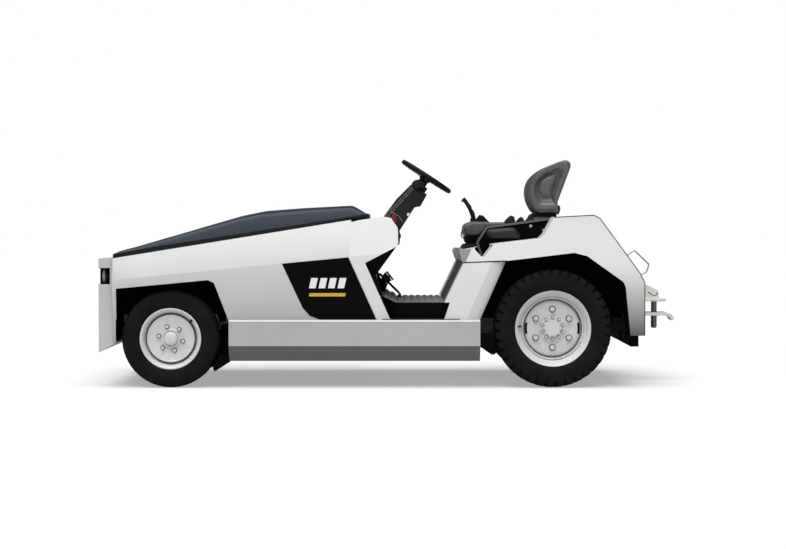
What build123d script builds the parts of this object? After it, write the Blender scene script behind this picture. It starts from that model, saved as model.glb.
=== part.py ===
from build123d import *
import os
from math import cos, sin, radians, hypot

# Airport baggage tug, electric: a steel chassis on leaf springs, a long tilting hood over
# the battery, an open step-through driver's place and a rear cover over the drive axle.
# Frame: +X forward, +Y to the vehicle's left, +Z up, origin on the ground at the middle of
# the overall length and width. Millimetres.

# Overall sizes and axles. Every other x is counted from an axle or from the cowl joint.
HALF_WIDTH = 750.0           # to the crease that runs along each side
WHEELBASE = 2307.0
FRONT_AXLE_X = 1350.0
REAR_AXLE_X = FRONT_AXLE_X - WHEELBASE
COWL_SHARE = 0.472908        # of the wheelbase, from the front axle back to the cowl joint
COWL_X = FRONT_AXLE_X - WHEELBASE * COWL_SHARE
NOSE_X = FRONT_AXLE_X + 433.0            # front face of the bumper
HITCH_END_X = REAR_AXLE_X - 826.0        # tip of the lower hitch plate

# Wheels
FRONT_TYRE_R = 296.0
FRONT_TYRE_W = 160.0
FRONT_FLANGE_R = FRONT_TYRE_R * 0.628378
FRONT_WHEEL_Y = HALF_WIDTH - 110.0
REAR_TYRE_R = 357.0
REAR_TYRE_W = 196.0
REAR_FLANGE_R = REAR_TYRE_R * 0.644258
REAR_WHEEL_Y = HALF_WIDTH - 118.0
KINGPIN_Y = FRONT_WHEEL_Y - 70.0
RIM_TO_TYRE = 0.3            # seat clearance between a tyre's bead and its rim

# Sheet thicknesses and clearances
SKIN = 5.0                   # side panels, fenders, cowl
LINER = 4.0                  # wheel liners, seat box, floor
SEAL_H = 14.0                # rubber strip that the hood closes on
HOOD_GAP = 0.5               # hood rim above its seal
RUNNING_GAP = 0.05           # pin in its bore, on the radius

# Side outline of the front body
BUMPER_REAR_X = FRONT_AXLE_X + 327.0
BODY_FRONT_X = FRONT_AXLE_X + 345.0
COWL_REAR_X = COWL_X - 282.0
BODY_TOP_FRONT_Z = 781.0     # top edge at the bumper
BODY_TOP_REAR_Z = 1013.0     # top edge at the cowl joint
CREASE_FRONT_Z = 650.0
CREASE_REAR_Z = 793.6
TOP_EDGE_Y = HALF_WIDTH - 28.0
FOOT_Y = HALF_WIDTH - 25.0   # where the lower facet meets the sill
TOP_FLANGE = 34.0
SIDE_CUT_IN = HALF_WIDTH - 150.0         # a cut through the side skin runs from here
SIDE_CUT_OUT = HALF_WIDTH + 50.0         # to here

# Sill, step and floor
SILL_TOP_Z = 412.0
SILL_BEND_Z = 255.0
SILL_BOTTOM_Z = 162.0
SILL_BOTTOM_Y = HALF_WIDTH - 50.0
SILL_FRONT_X = FRONT_AXLE_X - 354.0
SILL_REAR_X = REAR_AXLE_X + 440.0
STEP_INNER_Y = HALF_WIDTH - 190.0
FLOOR_TOP_Z = 513.0
FLOOR_FRONT_X = COWL_X - 269.0
FLOOR_REAR_X = REAR_AXLE_X + 648.0

# Chassis
RAIL_OUTER_Y = HALF_WIDTH - 370.0
RAIL_W = 80.0
RAIL_H = 80.0
RAIL_WALL = 8.0
RAIL_TOP_Z = FLOOR_TOP_Z - LINER
RAIL_BOTTOM_Z = RAIL_TOP_Z - RAIL_H
RAIL_REAR_X = REAR_AXLE_X - 482.0
WELL_INNER_Y = RAIL_OUTER_Y + 20.0

# Rear body
DECK_FRONT_X = REAR_AXLE_X + 527.0
DECK_FRONT_Z = 831.0
DECK_BOTTOM_Z = 757.0
FENDER_INNER_Y = HALF_WIDTH - 280.0
FENDER_OUTER_Y = HALF_WIDTH - 15.0
REAR_FACE_X = REAR_AXLE_X - 552.0
REAR_BOTTOM_Z = 316.0

# Hood: station x, crown height above the ground. Sections between are straight.
HOOD_STATIONS = [
    # x, crown z
    (BODY_FRONT_X + 3, 812.0),
    (FRONT_AXLE_X + 201, 858.0),
    (FRONT_AXLE_X - 165, 970.0),
    (FRONT_AXLE_X - 409, 1046.0),
    (FRONT_AXLE_X - 550, 1073.0),
    (COWL_X - 7, 1105.0),
    (COWL_X - 98, 1056.0),
]
HOOD_WALL = 4.0
HOOD_SIDE_Y = TOP_EDGE_Y - 3.0
HOOD_FLAT_SHARE = 0.39       # of the half width, nearly level in the middle

# Steering: the wheel's centre, its tilt from level and its size
STEERING_X = COWL_X - 464.0
STEERING_Z = 1292.0
STEERING_TILT = 33.0
STEERING_R = 171.0
STEERING_GRIP_R = 14.0

# Hitch
PIN_X = REAR_AXLE_X - 704.0
PIN_R = 19.0
PIN_SHANK_R = 18.5           # the pin above its bearing end
PIN_BORE_GAP = 1.0
UPPER_PLATE_Z = 497.0
UPPER_PLATE_T = 16.0
LOWER_PLATE_TOP_Z = 427.0
LOWER_PLATE_T = 20.0


def block(x0, x1, y0, y1, z0, z1):
    """Rectangular block between six limits."""
    centre = Pos((x0 + x1) / 2, (y0 + y1) / 2, (z0 + z1) / 2)
    return centre * Box(abs(x1 - x0), abs(y1 - y0), abs(z1 - z0))


def side_prism(points, y0, y1):
    """Outline of (x, z) points carried across the vehicle from y0 to y1."""
    low, high = min(y0, y1), max(y0, y1)
    face = Plane.XZ.offset(-high) * Polygon(*points, align=None)
    return extrude(face, amount=high - low, dir=(0, -1, 0))


def cross_prism(points, x0, x1):
    """Outline of (y, z) points carried along the vehicle from x0 to x1."""
    low, high = min(x0, x1), max(x0, x1)
    face = Plane.YZ.offset(low) * Polygon(*points, align=None)
    return extrude(face, amount=high - low, dir=(1, 0, 0))


def plan_prism(points, z0, z1):
    """Outline of (x, y) points carried up from z0 to z1."""
    face = Plane.XY.offset(z0) * Polygon(*points, align=None)
    return extrude(face, amount=z1 - z0, dir=(0, 0, 1))


def offset_line(points, distance):
    """The same run of points moved sideways to its left, with mitred corners."""
    moved = []
    for index, (x, z) in enumerate(points):
        before = points[max(index - 1, 0)]
        after = points[min(index + 1, len(points) - 1)]
        normals = []
        for start, end in ((before, (x, z)), ((x, z), after)):
            length = hypot(end[0] - start[0], end[1] - start[1])
            if length > 0:
                normals.append(((start[1] - end[1]) / length, (end[0] - start[0]) / length))
        nx = sum(n[0] for n in normals)
        nz = sum(n[1] for n in normals)
        scale = distance * len(normals) / (nx * nx + nz * nz)
        moved.append((x + nx * scale, z + nz * scale))
    return moved


def bent_sheet(points, thickness, y0, y1):
    """Sheet that follows a run of (x, z) points, its thickness laid to the run's left."""
    return side_prism(points + offset_line(points, thickness)[::-1], y0, y1)


def rod(points, radius, bend):
    """Round bar along a run of points with bends of one radius."""
    path = FilletPolyline(*points, radius=bend)
    return sweep(Plane(origin=path @ 0, z_dir=path % 0) * Circle(radius), path=path)


def bar(start, end, radius):
    """Straight round bar between two points."""
    return sweep(Plane(origin=start, z_dir=Vector(*end) - Vector(*start)) * Circle(radius),
                 path=Line(start, end))


def cylinder_y(x, z, radius, y0, y1):
    """Cylinder across the vehicle."""
    low, high = min(y0, y1), max(y0, y1)
    face = Plane.XZ.offset(-high) * Pos(x, z) * Circle(radius)
    return extrude(face, amount=high - low, dir=(0, -1, 0))


def cylinder_z(x, y, radius, z0, z1):
    """Upright cylinder."""
    return Pos(x, y, z0) * Cylinder(radius, z1 - z0, align=(Align.CENTER, Align.CENTER, Align.MIN))


def ahead(anchor, points):
    """Outline points whose x is counted forward from an anchor."""
    return [(anchor + x, z) for x, z in points]


def right_of(shape):
    """The same piece on the vehicle's right side."""
    return mirror(shape, about=Plane.XZ)


def save(name, *solids):
    """Writes one node from one or more solids."""
    shape = solids[0] if len(solids) == 1 else Compound(children=list(solids))
    export_step(shape, f"parts/{name}.step")


def save_pair(name, left):
    """Writes a left node and its mirrored right node."""
    save(name + "_left", left)
    save(name + "_right", right_of(left))


def body_top_z(x):
    """Height of the body side's top edge at x."""
    share = (BODY_FRONT_X - x) / (BODY_FRONT_X - COWL_X)
    return BODY_TOP_FRONT_Z + share * (BODY_TOP_REAR_Z - BODY_TOP_FRONT_Z)


def crease_z(x):
    """Height of the side crease at x."""
    share = (BODY_FRONT_X - x) / (BODY_FRONT_X - COWL_X)
    return CREASE_FRONT_Z + share * (CREASE_REAR_Z - CREASE_FRONT_Z)


# Body side: two facets that meet at a crease, cut to the outline of each panel

def side_section(x, outward, flange):
    """Cross-section of the side skin at x as (y, z) points, moved outward."""
    top, crease = body_top_z(x), crease_z(x)
    foot_z = SILL_TOP_Z
    y_top, y_crease, y_foot = (TOP_EDGE_Y + outward, HALF_WIDTH + outward, FOOT_Y + outward)
    outer = [(y_top, top), (y_crease, crease), (y_foot, foot_z)]
    inner = [(y_foot - SKIN, foot_z), (y_crease - SKIN, crease)]
    if flange:
        inner += [(y_top - SKIN, top - SKIN), (y_top - TOP_FLANGE, top - SKIN),
                  (y_top - TOP_FLANGE, top)]
    else:
        inner += [(y_top - SKIN, top)]
    return outer + inner


def side_skin(x_front, x_rear, outward=0.0, flange=False):
    """The faceted side skin between two stations."""
    faces = [Plane.YZ.offset(x) * Polygon(*side_section(x, outward, flange), align=None)
             for x in (x_rear, x_front)]
    return loft(faces, ruled=True)


ARCH_FRONT = [
    # x, z from the front lower corner over the front tyre to the sill
    (BUMPER_REAR_X - 4, SILL_TOP_Z - 20),
    (BUMPER_REAR_X - 4, 599.0),
    (FRONT_AXLE_X - 230, 651.0),
    (FRONT_AXLE_X - 266, 633.0),
    (FRONT_AXLE_X - 350, SILL_TOP_Z),
    (FRONT_AXLE_X - 350, SILL_TOP_Z - 20),
]


def make_body_side():
    outline = side_prism([
        (BODY_FRONT_X, SILL_TOP_Z), (BODY_FRONT_X, 900), (COWL_X, 1100),
        (COWL_X, 1000), (COWL_X + 13, 790), (COWL_X - 156, SILL_TOP_Z),
    ], SIDE_CUT_IN, SIDE_CUT_OUT)
    skin = side_skin(BODY_FRONT_X, COWL_X - 169, flange=True) & outline
    skin -= side_prism(ARCH_FRONT, SIDE_CUT_IN, SIDE_CUT_OUT)
    skin -= block(BUMPER_REAR_X, BODY_FRONT_X + 1, SIDE_CUT_IN, FOOT_Y - 10, 700, 900)
    post = block(BUMPER_REAR_X, BODY_FRONT_X, FOOT_Y - SKIN - 10, FOOT_Y, 272, SILL_TOP_Z)
    return skin + post


def make_access_panel():
    outline = side_prism(ahead(COWL_X, [
        (416, 750), (17, 788), (-151, SILL_TOP_Z), (188, SILL_TOP_Z), (251, 437), (292, 483),
    ]), SIDE_CUT_IN, SIDE_CUT_OUT)
    panel_t = 3.0
    thick = side_skin(COWL_X + 441, COWL_X - 164, outward=panel_t) & outline
    return thick - side_skin(COWL_X + 451, COWL_X - 169)


# Front bumper: a hollow steel nose with a lamp pocket at each top corner

BUMPER_WALL = 6.0
BUMPER_HALF_Y = HALF_WIDTH - 45.0
BUMPER_TOP_Z = 781.0
BUMPER_LOW_FRONT_Z = 214.0
BUMPER_LOW_REAR_Z = 271.0
POCKET_X = NOSE_X - 69.0
POCKET_Y = BUMPER_HALF_Y - 145.0
POCKET_BOTTOM_Z = 625.0
POCKET_TOP_Z = 723.0
GRILLE_SLOTS = 6
GRILLE_PITCH = 42.0
GRILLE_LOW_Z = 400.0
GRILLE_SLOT_H = 18.0
GRILLE_HALF_Y = 270.0

# Hood hinges: ears and a pin on the nose, a leaf on the hood
HINGE_X = BODY_FRONT_X + 14.0
HINGE_Z = BUMPER_TOP_Z + 14.0
HINGE_R = 9.0
HINGE_PIN_R = 5.0
HINGE_Y = 430.0
LEAF_HALF_W = 14.0
HINGE_EAR_GAP = 2.0
HINGE_EAR_T = 10.0


def make_bumper():
    outline = [(BUMPER_REAR_X, BUMPER_TOP_Z), (NOSE_X, BUMPER_TOP_Z),
               (NOSE_X, BUMPER_LOW_FRONT_Z), (BUMPER_REAR_X, BUMPER_LOW_REAR_Z)]
    nose = side_prism(outline, -BUMPER_HALF_Y, BUMPER_HALF_Y)
    w = BUMPER_WALL
    hollow = side_prism([
        (BUMPER_REAR_X - 1, BUMPER_TOP_Z - w), (NOSE_X - w, BUMPER_TOP_Z - w),
        (NOSE_X - w, BUMPER_LOW_FRONT_Z + w + 2), (BUMPER_REAR_X - 1, BUMPER_LOW_REAR_Z + w + 2),
    ], w - BUMPER_HALF_Y, BUMPER_HALF_Y - w)
    nose -= hollow
    for side in (1, -1):
        nose += block(POCKET_X - w, NOSE_X - w, side * (POCKET_Y - w), side * BUMPER_HALF_Y,
                      POCKET_BOTTOM_Z - w, POCKET_TOP_Z + w)
        nose -= block(POCKET_X, NOSE_X + 1, side * POCKET_Y, side * (BUMPER_HALF_Y + 1),
                      POCKET_BOTTOM_Z, POCKET_TOP_Z)
    for slot in range(GRILLE_SLOTS):
        z = GRILLE_LOW_Z + slot * GRILLE_PITCH
        nose -= block(NOSE_X - w - 1, NOSE_X + 1, -GRILLE_HALF_Y, GRILLE_HALF_Y,
                      z, z + GRILLE_SLOT_H)
    ear_y = LEAF_HALF_W + HINGE_EAR_GAP
    for hinge in (HINGE_Y, -HINGE_Y):
        for side in (1, -1):
            y0, y1 = hinge + side * ear_y, hinge + side * (ear_y + HINGE_EAR_T)
            nose += block(HINGE_X - HINGE_R, HINGE_X + HINGE_R, y0, y1, BUMPER_TOP_Z - 1, HINGE_Z)
            nose += cylinder_y(HINGE_X, HINGE_Z, HINGE_R, y0, y1)
        reach = ear_y + HINGE_EAR_T + 3
        nose += cylinder_y(HINGE_X, HINGE_Z, HINGE_PIN_R, hinge - reach, hinge + reach)
    return nose


LAMP_R = 44.0


def make_headlamps():
    lamps = []
    middle_z = (POCKET_BOTTOM_Z + POCKET_TOP_Z) / 2
    for side in (1, -1):
        # half outline of the lamp about its axis: radius, distance from the pocket wall
        outline = [(0, 0), (28, 0), (LAMP_R - 6, 24), (LAMP_R, 30), (LAMP_R, 44),
                   (LAMP_R - 6, 46), (0, 52)]
        body = revolve(Polygon(*outline, align=None), axis=Axis.Y)
        lamps.append(Pos(POCKET_X, side * (POCKET_Y + BUMPER_HALF_Y) / 2, middle_z) * Rot(0, 0, -90) * body)
    return lamps


# Hood

def hood_bottom_z(x):
    return body_top_z(x) + SEAL_H + HOOD_GAP


def hood_section(x, crown, inset):
    """Hood cross-section at x as (y, z) points, moved inward by the wall for the hollow."""
    foot = hood_bottom_z(x)
    rise = crown - foot
    shoulder_y = HOOD_SIDE_Y - 0.28 * rise
    half = [
        (HOOD_SIDE_Y - inset, foot - (2 if inset else 0)),
        (shoulder_y - inset, foot + 0.72 * rise - inset),
        (shoulder_y - 45 - inset, foot + 0.93 * rise - inset),
        (HOOD_SIDE_Y * HOOD_FLAT_SHARE, crown - inset),
    ]
    return half + [(-y, z) for y, z in reversed(half)]


def hood_loft(inset):
    stations = list(HOOD_STATIONS)
    if inset:
        stations[0] = (stations[0][0] - inset, stations[0][1] + inset * 0.3)
        stations[-1] = (stations[-1][0] + inset, stations[-1][1] + inset * 0.3)
    faces = [Plane.YZ.offset(x) * Polygon(*hood_section(x, crown, inset), align=None)
             for x, crown in reversed(stations)]
    return loft(faces, ruled=True)


def make_hood():
    hood = hood_loft(0.0) - hood_loft(HOOD_WALL)
    for y in (HINGE_Y, -HINGE_Y):
        hood += block(BODY_FRONT_X + 1, HINGE_X, y - LEAF_HALF_W, y + LEAF_HALF_W,
                      HINGE_Z + 2, HINGE_Z + HINGE_R)
        hood += cylinder_y(HINGE_X, HINGE_Z, HINGE_R, y - LEAF_HALF_W, y + LEAF_HALF_W)
        hood -= cylinder_y(HINGE_X, HINGE_Z, HINGE_PIN_R + RUNNING_GAP, y - 20, y + 20)
    return hood


def make_hood_seal():
    width = 14.0
    rear_x = HOOD_STATIONS[-1][0]
    front_x = HOOD_STATIONS[0][0] - 4
    y = HOOD_SIDE_Y - 4
    strip = [(rear_x, body_top_z(rear_x)), (front_x, body_top_z(front_x)),
             (front_x, body_top_z(front_x) + SEAL_H), (rear_x, body_top_z(rear_x) + SEAL_H)]
    ring = side_prism(strip, -y, y)
    return ring - block(rear_x + width, front_x - width, width - y, y - width, 500, 1300)


# Cowl: cheeks, pillars, top and bulkhead in one welded piece

COWL_TOP = [(COWL_X, 1000.0), (COWL_X - 191, 1034.0), (COWL_X - 239, 1024.0),
            (COWL_REAR_X + 2, 964.0)]
COWL_OUTLINE = COWL_TOP + [(COWL_REAR_X, 872.0)] + ahead(COWL_X, [
    (-267, 849.0), (-83, 754.0), (-235, SILL_TOP_Z), (-156, SILL_TOP_Z), (13, 790.0),
])


def make_cowl():
    cheek = side_skin(COWL_X + 41, COWL_X - 299) & side_prism(COWL_OUTLINE, SIDE_CUT_IN, SIDE_CUT_OUT)
    inner_y = TOP_EDGE_Y - SKIN + 2
    top = side_prism(COWL_TOP + [(x, z - SKIN) for x, z in reversed(COWL_TOP)], -inner_y, inner_y)
    bulkhead = block(COWL_X - SKIN, COWL_X, -inner_y, inner_y, RAIL_TOP_Z, 998)
    return cheek + right_of(cheek) + top + bulkhead


FOOTWELL = ahead(COWL_X, [(-271, 862.0), (-271, 850.0), (-143, 673.0), (-143, 573.0)]) + [
    (FLOOR_FRONT_X, FLOOR_TOP_Z)]
FOOTWELL_HALF_Y = TOP_EDGE_Y - 16.0
LEG_GUARD = ahead(COWL_X, [(-271, 850), (-145, 684), (-193, 560), (-125, 560), (-70, 752)])


def make_footwell():
    """Foot panel across the cowl, between the two leg guards."""
    y = FOOTWELL_HALF_Y - LINER
    return bent_sheet(FOOTWELL, LINER, -y, y)


def make_leg_guard():
    """Plate beside the driver's legs, flush against the foot panel's edge."""
    return side_prism(LEG_GUARD, FOOTWELL_HALF_Y - LINER, FOOTWELL_HALF_Y)


def make_dash():
    plate = block(COWL_REAR_X - 1, COWL_REAR_X + 9, -FOOTWELL_HALF_Y, FOOTWELL_HALF_Y, 862, 956)
    knob = Pos(COWL_REAR_X - 1, 230, 914) * Rot(0, -90, 0) * Cylinder(
        12, 18, align=(Align.CENTER, Align.CENTER, Align.MIN))
    return plate + knob


# Steering column cover: a tapered housing between the cowl top and the wheel

COLUMN_SIDE = ahead(COWL_X, [(-187, 1024), (-195, 1042), (-273, 1148), (-367, 1242), (-467, 1177),
                             (-426, 1103), (-389, 1096), (-289, 940)]) + [(COWL_REAR_X - 1, 940)]
COLUMN_FRONT = [(-118, 930), (118, 930), (62, 1250), (-62, 1250)]


def steering_plane(along=0.0):
    """Plane of the steering wheel, or one moved along its axis."""
    tilt = radians(STEERING_TILT)
    axis = Vector(-sin(tilt), 0, cos(tilt))
    origin = Vector(STEERING_X, 0, STEERING_Z) + axis * along
    return Plane(origin=origin, x_dir=(0, 1, 0), z_dir=axis)


HUB_DEPTH = 30.0


def make_column():
    cover = side_prism(COLUMN_SIDE, -120, 120) & cross_prism(
        COLUMN_FRONT, COWL_X - 519, COWL_X - 139)
    under = [(COWL_REAR_X - 1, 960), (COWL_REAR_X - 1, 930), (COWL_X - 139, 930)]
    cover -= side_prism(COWL_TOP + under, -130, 130)
    neck_length = 70.0
    neck = extrude(steering_plane(-HUB_DEPTH - 0.5) * Circle(30), amount=-neck_length)
    head = extrude(steering_plane(-HUB_DEPTH - 30) * Circle(48), amount=-40)
    button_x, button_z = COWL_X - 257, 1034
    button = cylinder_y(button_x, button_z, 9, 90, 110) + cylinder_y(button_x, button_z, 16, 106, 116)
    return cover + neck + head, button - cover


def make_steering_wheel():
    grip = steering_plane() * Torus(STEERING_R, STEERING_GRIP_R)
    hub = extrude(steering_plane(-HUB_DEPTH) * Circle(38), amount=HUB_DEPTH + 8)
    wheel = grip + hub
    for angle in (90, 210, 330):
        spoke = Rot(0, 0, angle) * Pos(STEERING_R / 2, 0, -6) * Box(STEERING_R, 26, 9)
        wheel += steering_plane() * spoke
    return wheel


# Sill, step and floor

def make_sill():
    t = SKIN
    section = [
        (STEP_INNER_Y, SILL_TOP_Z), (HALF_WIDTH, SILL_TOP_Z), (HALF_WIDTH, SILL_BEND_Z),
        (SILL_BOTTOM_Y, SILL_BOTTOM_Z), (SILL_BOTTOM_Y - 40, SILL_BOTTOM_Z),
        (SILL_BOTTOM_Y - 40, SILL_BOTTOM_Z + t), (SILL_BOTTOM_Y - 3, SILL_BOTTOM_Z + t),
        (HALF_WIDTH - t, SILL_BEND_Z + 2), (HALF_WIDTH - t, SILL_TOP_Z - t),
        (STEP_INNER_Y, SILL_TOP_Z - t),
    ]
    return cross_prism(section, SILL_REAR_X, SILL_FRONT_X)


def make_floor():
    return block(riser_x(RAIL_TOP_Z), FLOOR_FRONT_X, -STEP_INNER_Y, STEP_INNER_Y,
                 RAIL_TOP_Z, FLOOR_TOP_Z)


def make_step_riser():
    top = FLOOR_TOP_Z - LINER
    return side_prism([(FLOOR_REAR_X, SILL_TOP_Z), (FLOOR_REAR_X - 28, top), (COWL_X - 190, top),
                       (COWL_X - 212, SILL_TOP_Z)], STEP_INNER_Y - LINER, STEP_INNER_Y)


# Seat box and rear body

RISER_LEAN = 0.488           # run towards the rear for each millimetre of height


def riser_x(z):
    """Front face of the seat box at height z."""
    return FLOOR_REAR_X - (z - FLOOR_TOP_Z) * RISER_LEAN


def make_seat_box():
    low, high = RAIL_TOP_Z, DECK_BOTTOM_Z
    front = bent_sheet([(riser_x(low - 5), low - 5), (riser_x(high + 5), high + 5)], LINER,
                       -STEP_INNER_Y, STEP_INNER_Y)
    front &= block(REAR_AXLE_X, COWL_X, -STEP_INNER_Y, STEP_INNER_Y, low, high)
    rear_x = SILL_REAR_X - 3
    cheek = side_prism([(riser_x(low), low), (riser_x(high), high), (rear_x, high), (rear_x, low)],
                       STEP_INNER_Y - LINER, STEP_INNER_Y)
    return front + cheek + right_of(cheek)


REAR_SIDE_FRONT = [(FLOOR_REAR_X - 4, SILL_TOP_Z), (FLOOR_REAR_X - 109, DECK_BOTTOM_Z)]


def make_rear_side():
    outline = REAR_SIDE_FRONT + [(DECK_FRONT_X, DECK_BOTTOM_Z), ARCH_REAR[-1],
                                 (SILL_REAR_X - 1, SILL_TOP_Z)]
    plate = side_prism(outline, FENDER_OUTER_Y - SKIN, FENDER_OUTER_Y)
    flange = bent_sheet(REAR_SIDE_FRONT, SKIN, STEP_INNER_Y, FENDER_OUTER_Y - SKIN)
    flange &= block(REAR_AXLE_X, COWL_X, STEP_INNER_Y, HALF_WIDTH, SILL_TOP_Z, DECK_BOTTOM_Z)
    return plate + flange


DECK_TOP = [(DECK_FRONT_X, DECK_FRONT_Z)] + ahead(REAR_AXLE_X, [
    (346, 868.0), (81, 899.0), (-73, 905.0)])
FENDER_TOP = DECK_TOP[:3] + ahead(REAR_AXLE_X, [
    (48, 934.0), (-4, 1031.0), (-243, 1044.0), (-282, 1023.0), (-523, 694.0)]) + [
    (REAR_FACE_X, 635.0)]
ARCH_REAR = ahead(REAR_AXLE_X, [
    (-464, REAR_BOTTOM_Z), (-434, 609.0), (-421, 639.0), (-202, 795.0), (-126, 814.0), (279, 766.0)])


NOTCH = ahead(REAR_AXLE_X, [(479, 930), (479, 841), (436, 794), (418, 788), (360, 866), (360, 930)])
NOTCH_INNER_Y = 262.0        # a notch in each side of the deck, where the seat's guard ends


def notch():
    cut = side_prism(NOTCH, NOTCH_INNER_Y, SIDE_CUT_OUT)
    return cut + right_of(cut)


def make_seat_deck():
    y = FENDER_INNER_Y
    top = bent_sheet(DECK_TOP, SKIN, -y, y)
    apron = block(DECK_FRONT_X - SKIN, DECK_FRONT_X, -y, y, DECK_BOTTOM_Z, DECK_FRONT_Z - 1)
    return top + apron - notch()


def make_fender():
    outline = FENDER_TOP + [(REAR_FACE_X, REAR_BOTTOM_Z)] + ARCH_REAR + [
        (DECK_FRONT_X, DECK_BOTTOM_Z)]
    y0, y1 = FENDER_INNER_Y, FENDER_OUTER_Y
    solid = side_prism(outline, y0, y1)
    inner = offset_line(FENDER_TOP, SKIN)
    inner[0] = (DECK_FRONT_X - SKIN, inner[0][1])
    inner[-1] = (REAR_FACE_X + SKIN, inner[-1][1])
    hollow = side_prism(inner + [(REAR_FACE_X + SKIN, 100), (DECK_FRONT_X - SKIN, 100)],
                        y0 + SKIN, y1 - SKIN)
    return solid - hollow - notch()


def make_rear_cover():
    y = FENDER_INNER_Y
    foot_x, foot_z = DECK_TOP[-1]
    run = [(foot_x, foot_z), (foot_x, 1035.0)] + FENDER_TOP[5:] + [(REAR_FACE_X, REAR_BOTTOM_Z)]
    return bent_sheet(run, SKIN, -y, y)


# Wheel liners

def make_front_liner():
    front_x = BUMPER_REAR_X - LINER
    top = [(front_x, 599.0)] + ARCH_FRONT[2:4]
    foot_x = ARCH_FRONT[4][0]
    shell = bent_sheet([(front_x, 300.0)] + top + [
        (foot_x, SILL_TOP_Z), (foot_x, 156.0), (foot_x + 83, 103.0)], -LINER, WELL_INNER_Y, FOOT_Y - 7)
    (x0, z0), (x1, z1) = ARCH_FRONT[3:5]
    rail_x = x1 + (x0 - x1) * (RAIL_TOP_Z - z1) / (z0 - z1)
    wall = side_prism([(front_x, RAIL_TOP_Z)] + top + [(rail_x, RAIL_TOP_Z)],
                      WELL_INNER_Y - LINER, WELL_INNER_Y + 1)
    return shell + wall


def make_rear_liner():
    """Black liner over and beside the rear tyre, and the mud flap behind it."""
    inner = ARCH_REAR + [(SILL_REAR_X - LINER, SILL_TOP_Z)]
    shell = bent_sheet(inner, LINER, FENDER_INNER_Y + SKIN, FENDER_OUTER_Y - SKIN)
    flap = bent_sheet([(SILL_REAR_X - LINER, SILL_TOP_Z), (SILL_REAR_X - LINER, 250.0),
                       (SILL_REAR_X - 74, 201.0)], LINER, FENDER_INNER_Y + 10, SILL_BOTTOM_Y)
    wall = side_prism([(REAR_AXLE_X - 444, SILL_TOP_Z)] + ARCH_REAR[1:] + [
        (SILL_REAR_X - LINER, SILL_TOP_Z)],
                      FENDER_INNER_Y + SKIN, FENDER_INNER_Y + SKIN + LINER)
    rear = bent_sheet([(RAIL_REAR_X + 54, 340.0), (RAIL_REAR_X + 54, 276.0), (RAIL_REAR_X, 247.0)],
                      LINER, FENDER_INNER_Y + 10, SILL_BOTTOM_Y - 60)
    return shell + flap + wall, rear


# Chassis

CROSS_X = [FRONT_AXLE_X + 250, FRONT_AXLE_X - 650, COWL_X - 24, FLOOR_REAR_X - 41, RAIL_REAR_X + 139]
OUTRIGGER_X = [SILL_FRONT_X - 46, COWL_X + 41, FLOOR_REAR_X + 59, SILL_REAR_X + 37]


def make_chassis():
    front_x = NOSE_X - BUMPER_WALL
    rail = block(RAIL_REAR_X, front_x, RAIL_OUTER_Y - RAIL_W, RAIL_OUTER_Y,
                 RAIL_BOTTOM_Z, RAIL_TOP_Z)
    rail -= block(RAIL_REAR_X - 1, front_x + 1, RAIL_OUTER_Y - RAIL_W - 1,
                  RAIL_OUTER_Y - RAIL_WALL, RAIL_BOTTOM_Z + RAIL_WALL, RAIL_TOP_Z - RAIL_WALL)
    frame = rail + right_of(rail)
    inner_y = RAIL_OUTER_Y - RAIL_WALL
    for x in CROSS_X:
        frame += block(x - 30, x + 30, -inner_y, inner_y, RAIL_BOTTOM_Z + RAIL_WALL,
                       RAIL_TOP_Z - RAIL_WALL)
    tail_y = FENDER_INNER_Y - 5
    frame += block(RAIL_REAR_X - 42, RAIL_REAR_X, -tail_y, tail_y, 245, RAIL_TOP_Z)
    frame += block(RAIL_REAR_X - 42, RAIL_REAR_X, 60 - SILL_BOTTOM_Y, SILL_BOTTOM_Y - 60,
                   245, REAR_BOTTOM_Z)
    frame += block(REAR_FACE_X + SKIN, RAIL_REAR_X - 42, -110, 110, 380, RAIL_TOP_Z)
    for x in OUTRIGGER_X:
        for side in (1, -1):
            frame += block(x - 25, x + 25, side * inner_y, side * (HALF_WIDTH - SKIN),
                           SILL_TOP_Z - SKIN - 50, SILL_TOP_Z - SKIN)
            frame += block(x - 25, x + 25, side * inner_y, side * RAIL_OUTER_Y,
                           SILL_TOP_Z - SKIN - 50, RAIL_BOTTOM_Z)
    return frame


SPRING_W = 60.0
FRONT_SPRING_Y = RAIL_OUTER_Y - 40.0
REAR_SPRING_Y = RAIL_OUTER_Y + 50.0
LEAF_T = 8.0


def leaf_spring(x, y, z, reach, rise):
    """A stack of leaves on an axle, its eyes higher than its middle."""
    pack = None
    for leaf, share in enumerate((1.0, 0.72, 0.44)):
        run = []
        for step in range(-4, 5):
            along = step / 4.0 * share
            run.append((x + along * reach, z + rise * along * along + (2 - leaf) * LEAF_T))
        piece = bent_sheet(run, LEAF_T, y - SPRING_W / 2, y + SPRING_W / 2)
        pack = piece if pack is None else pack + piece
    return pack


def make_front_axle():
    beam_z = FRONT_TYRE_R - 30
    beam = block(FRONT_AXLE_X - 32, FRONT_AXLE_X + 32, 30 - KINGPIN_Y, KINGPIN_Y - 30,
                 beam_z - 30, beam_z + 30)
    for side in (1, -1):
        beam += cylinder_z(FRONT_AXLE_X, side * KINGPIN_Y, 32, beam_z - 30, beam_z + 60)
        beam -= cylinder_z(FRONT_AXLE_X, side * KINGPIN_Y, 15.1, beam_z - 40, beam_z + 70)
    return beam


HANGER_W = 30.0


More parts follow.
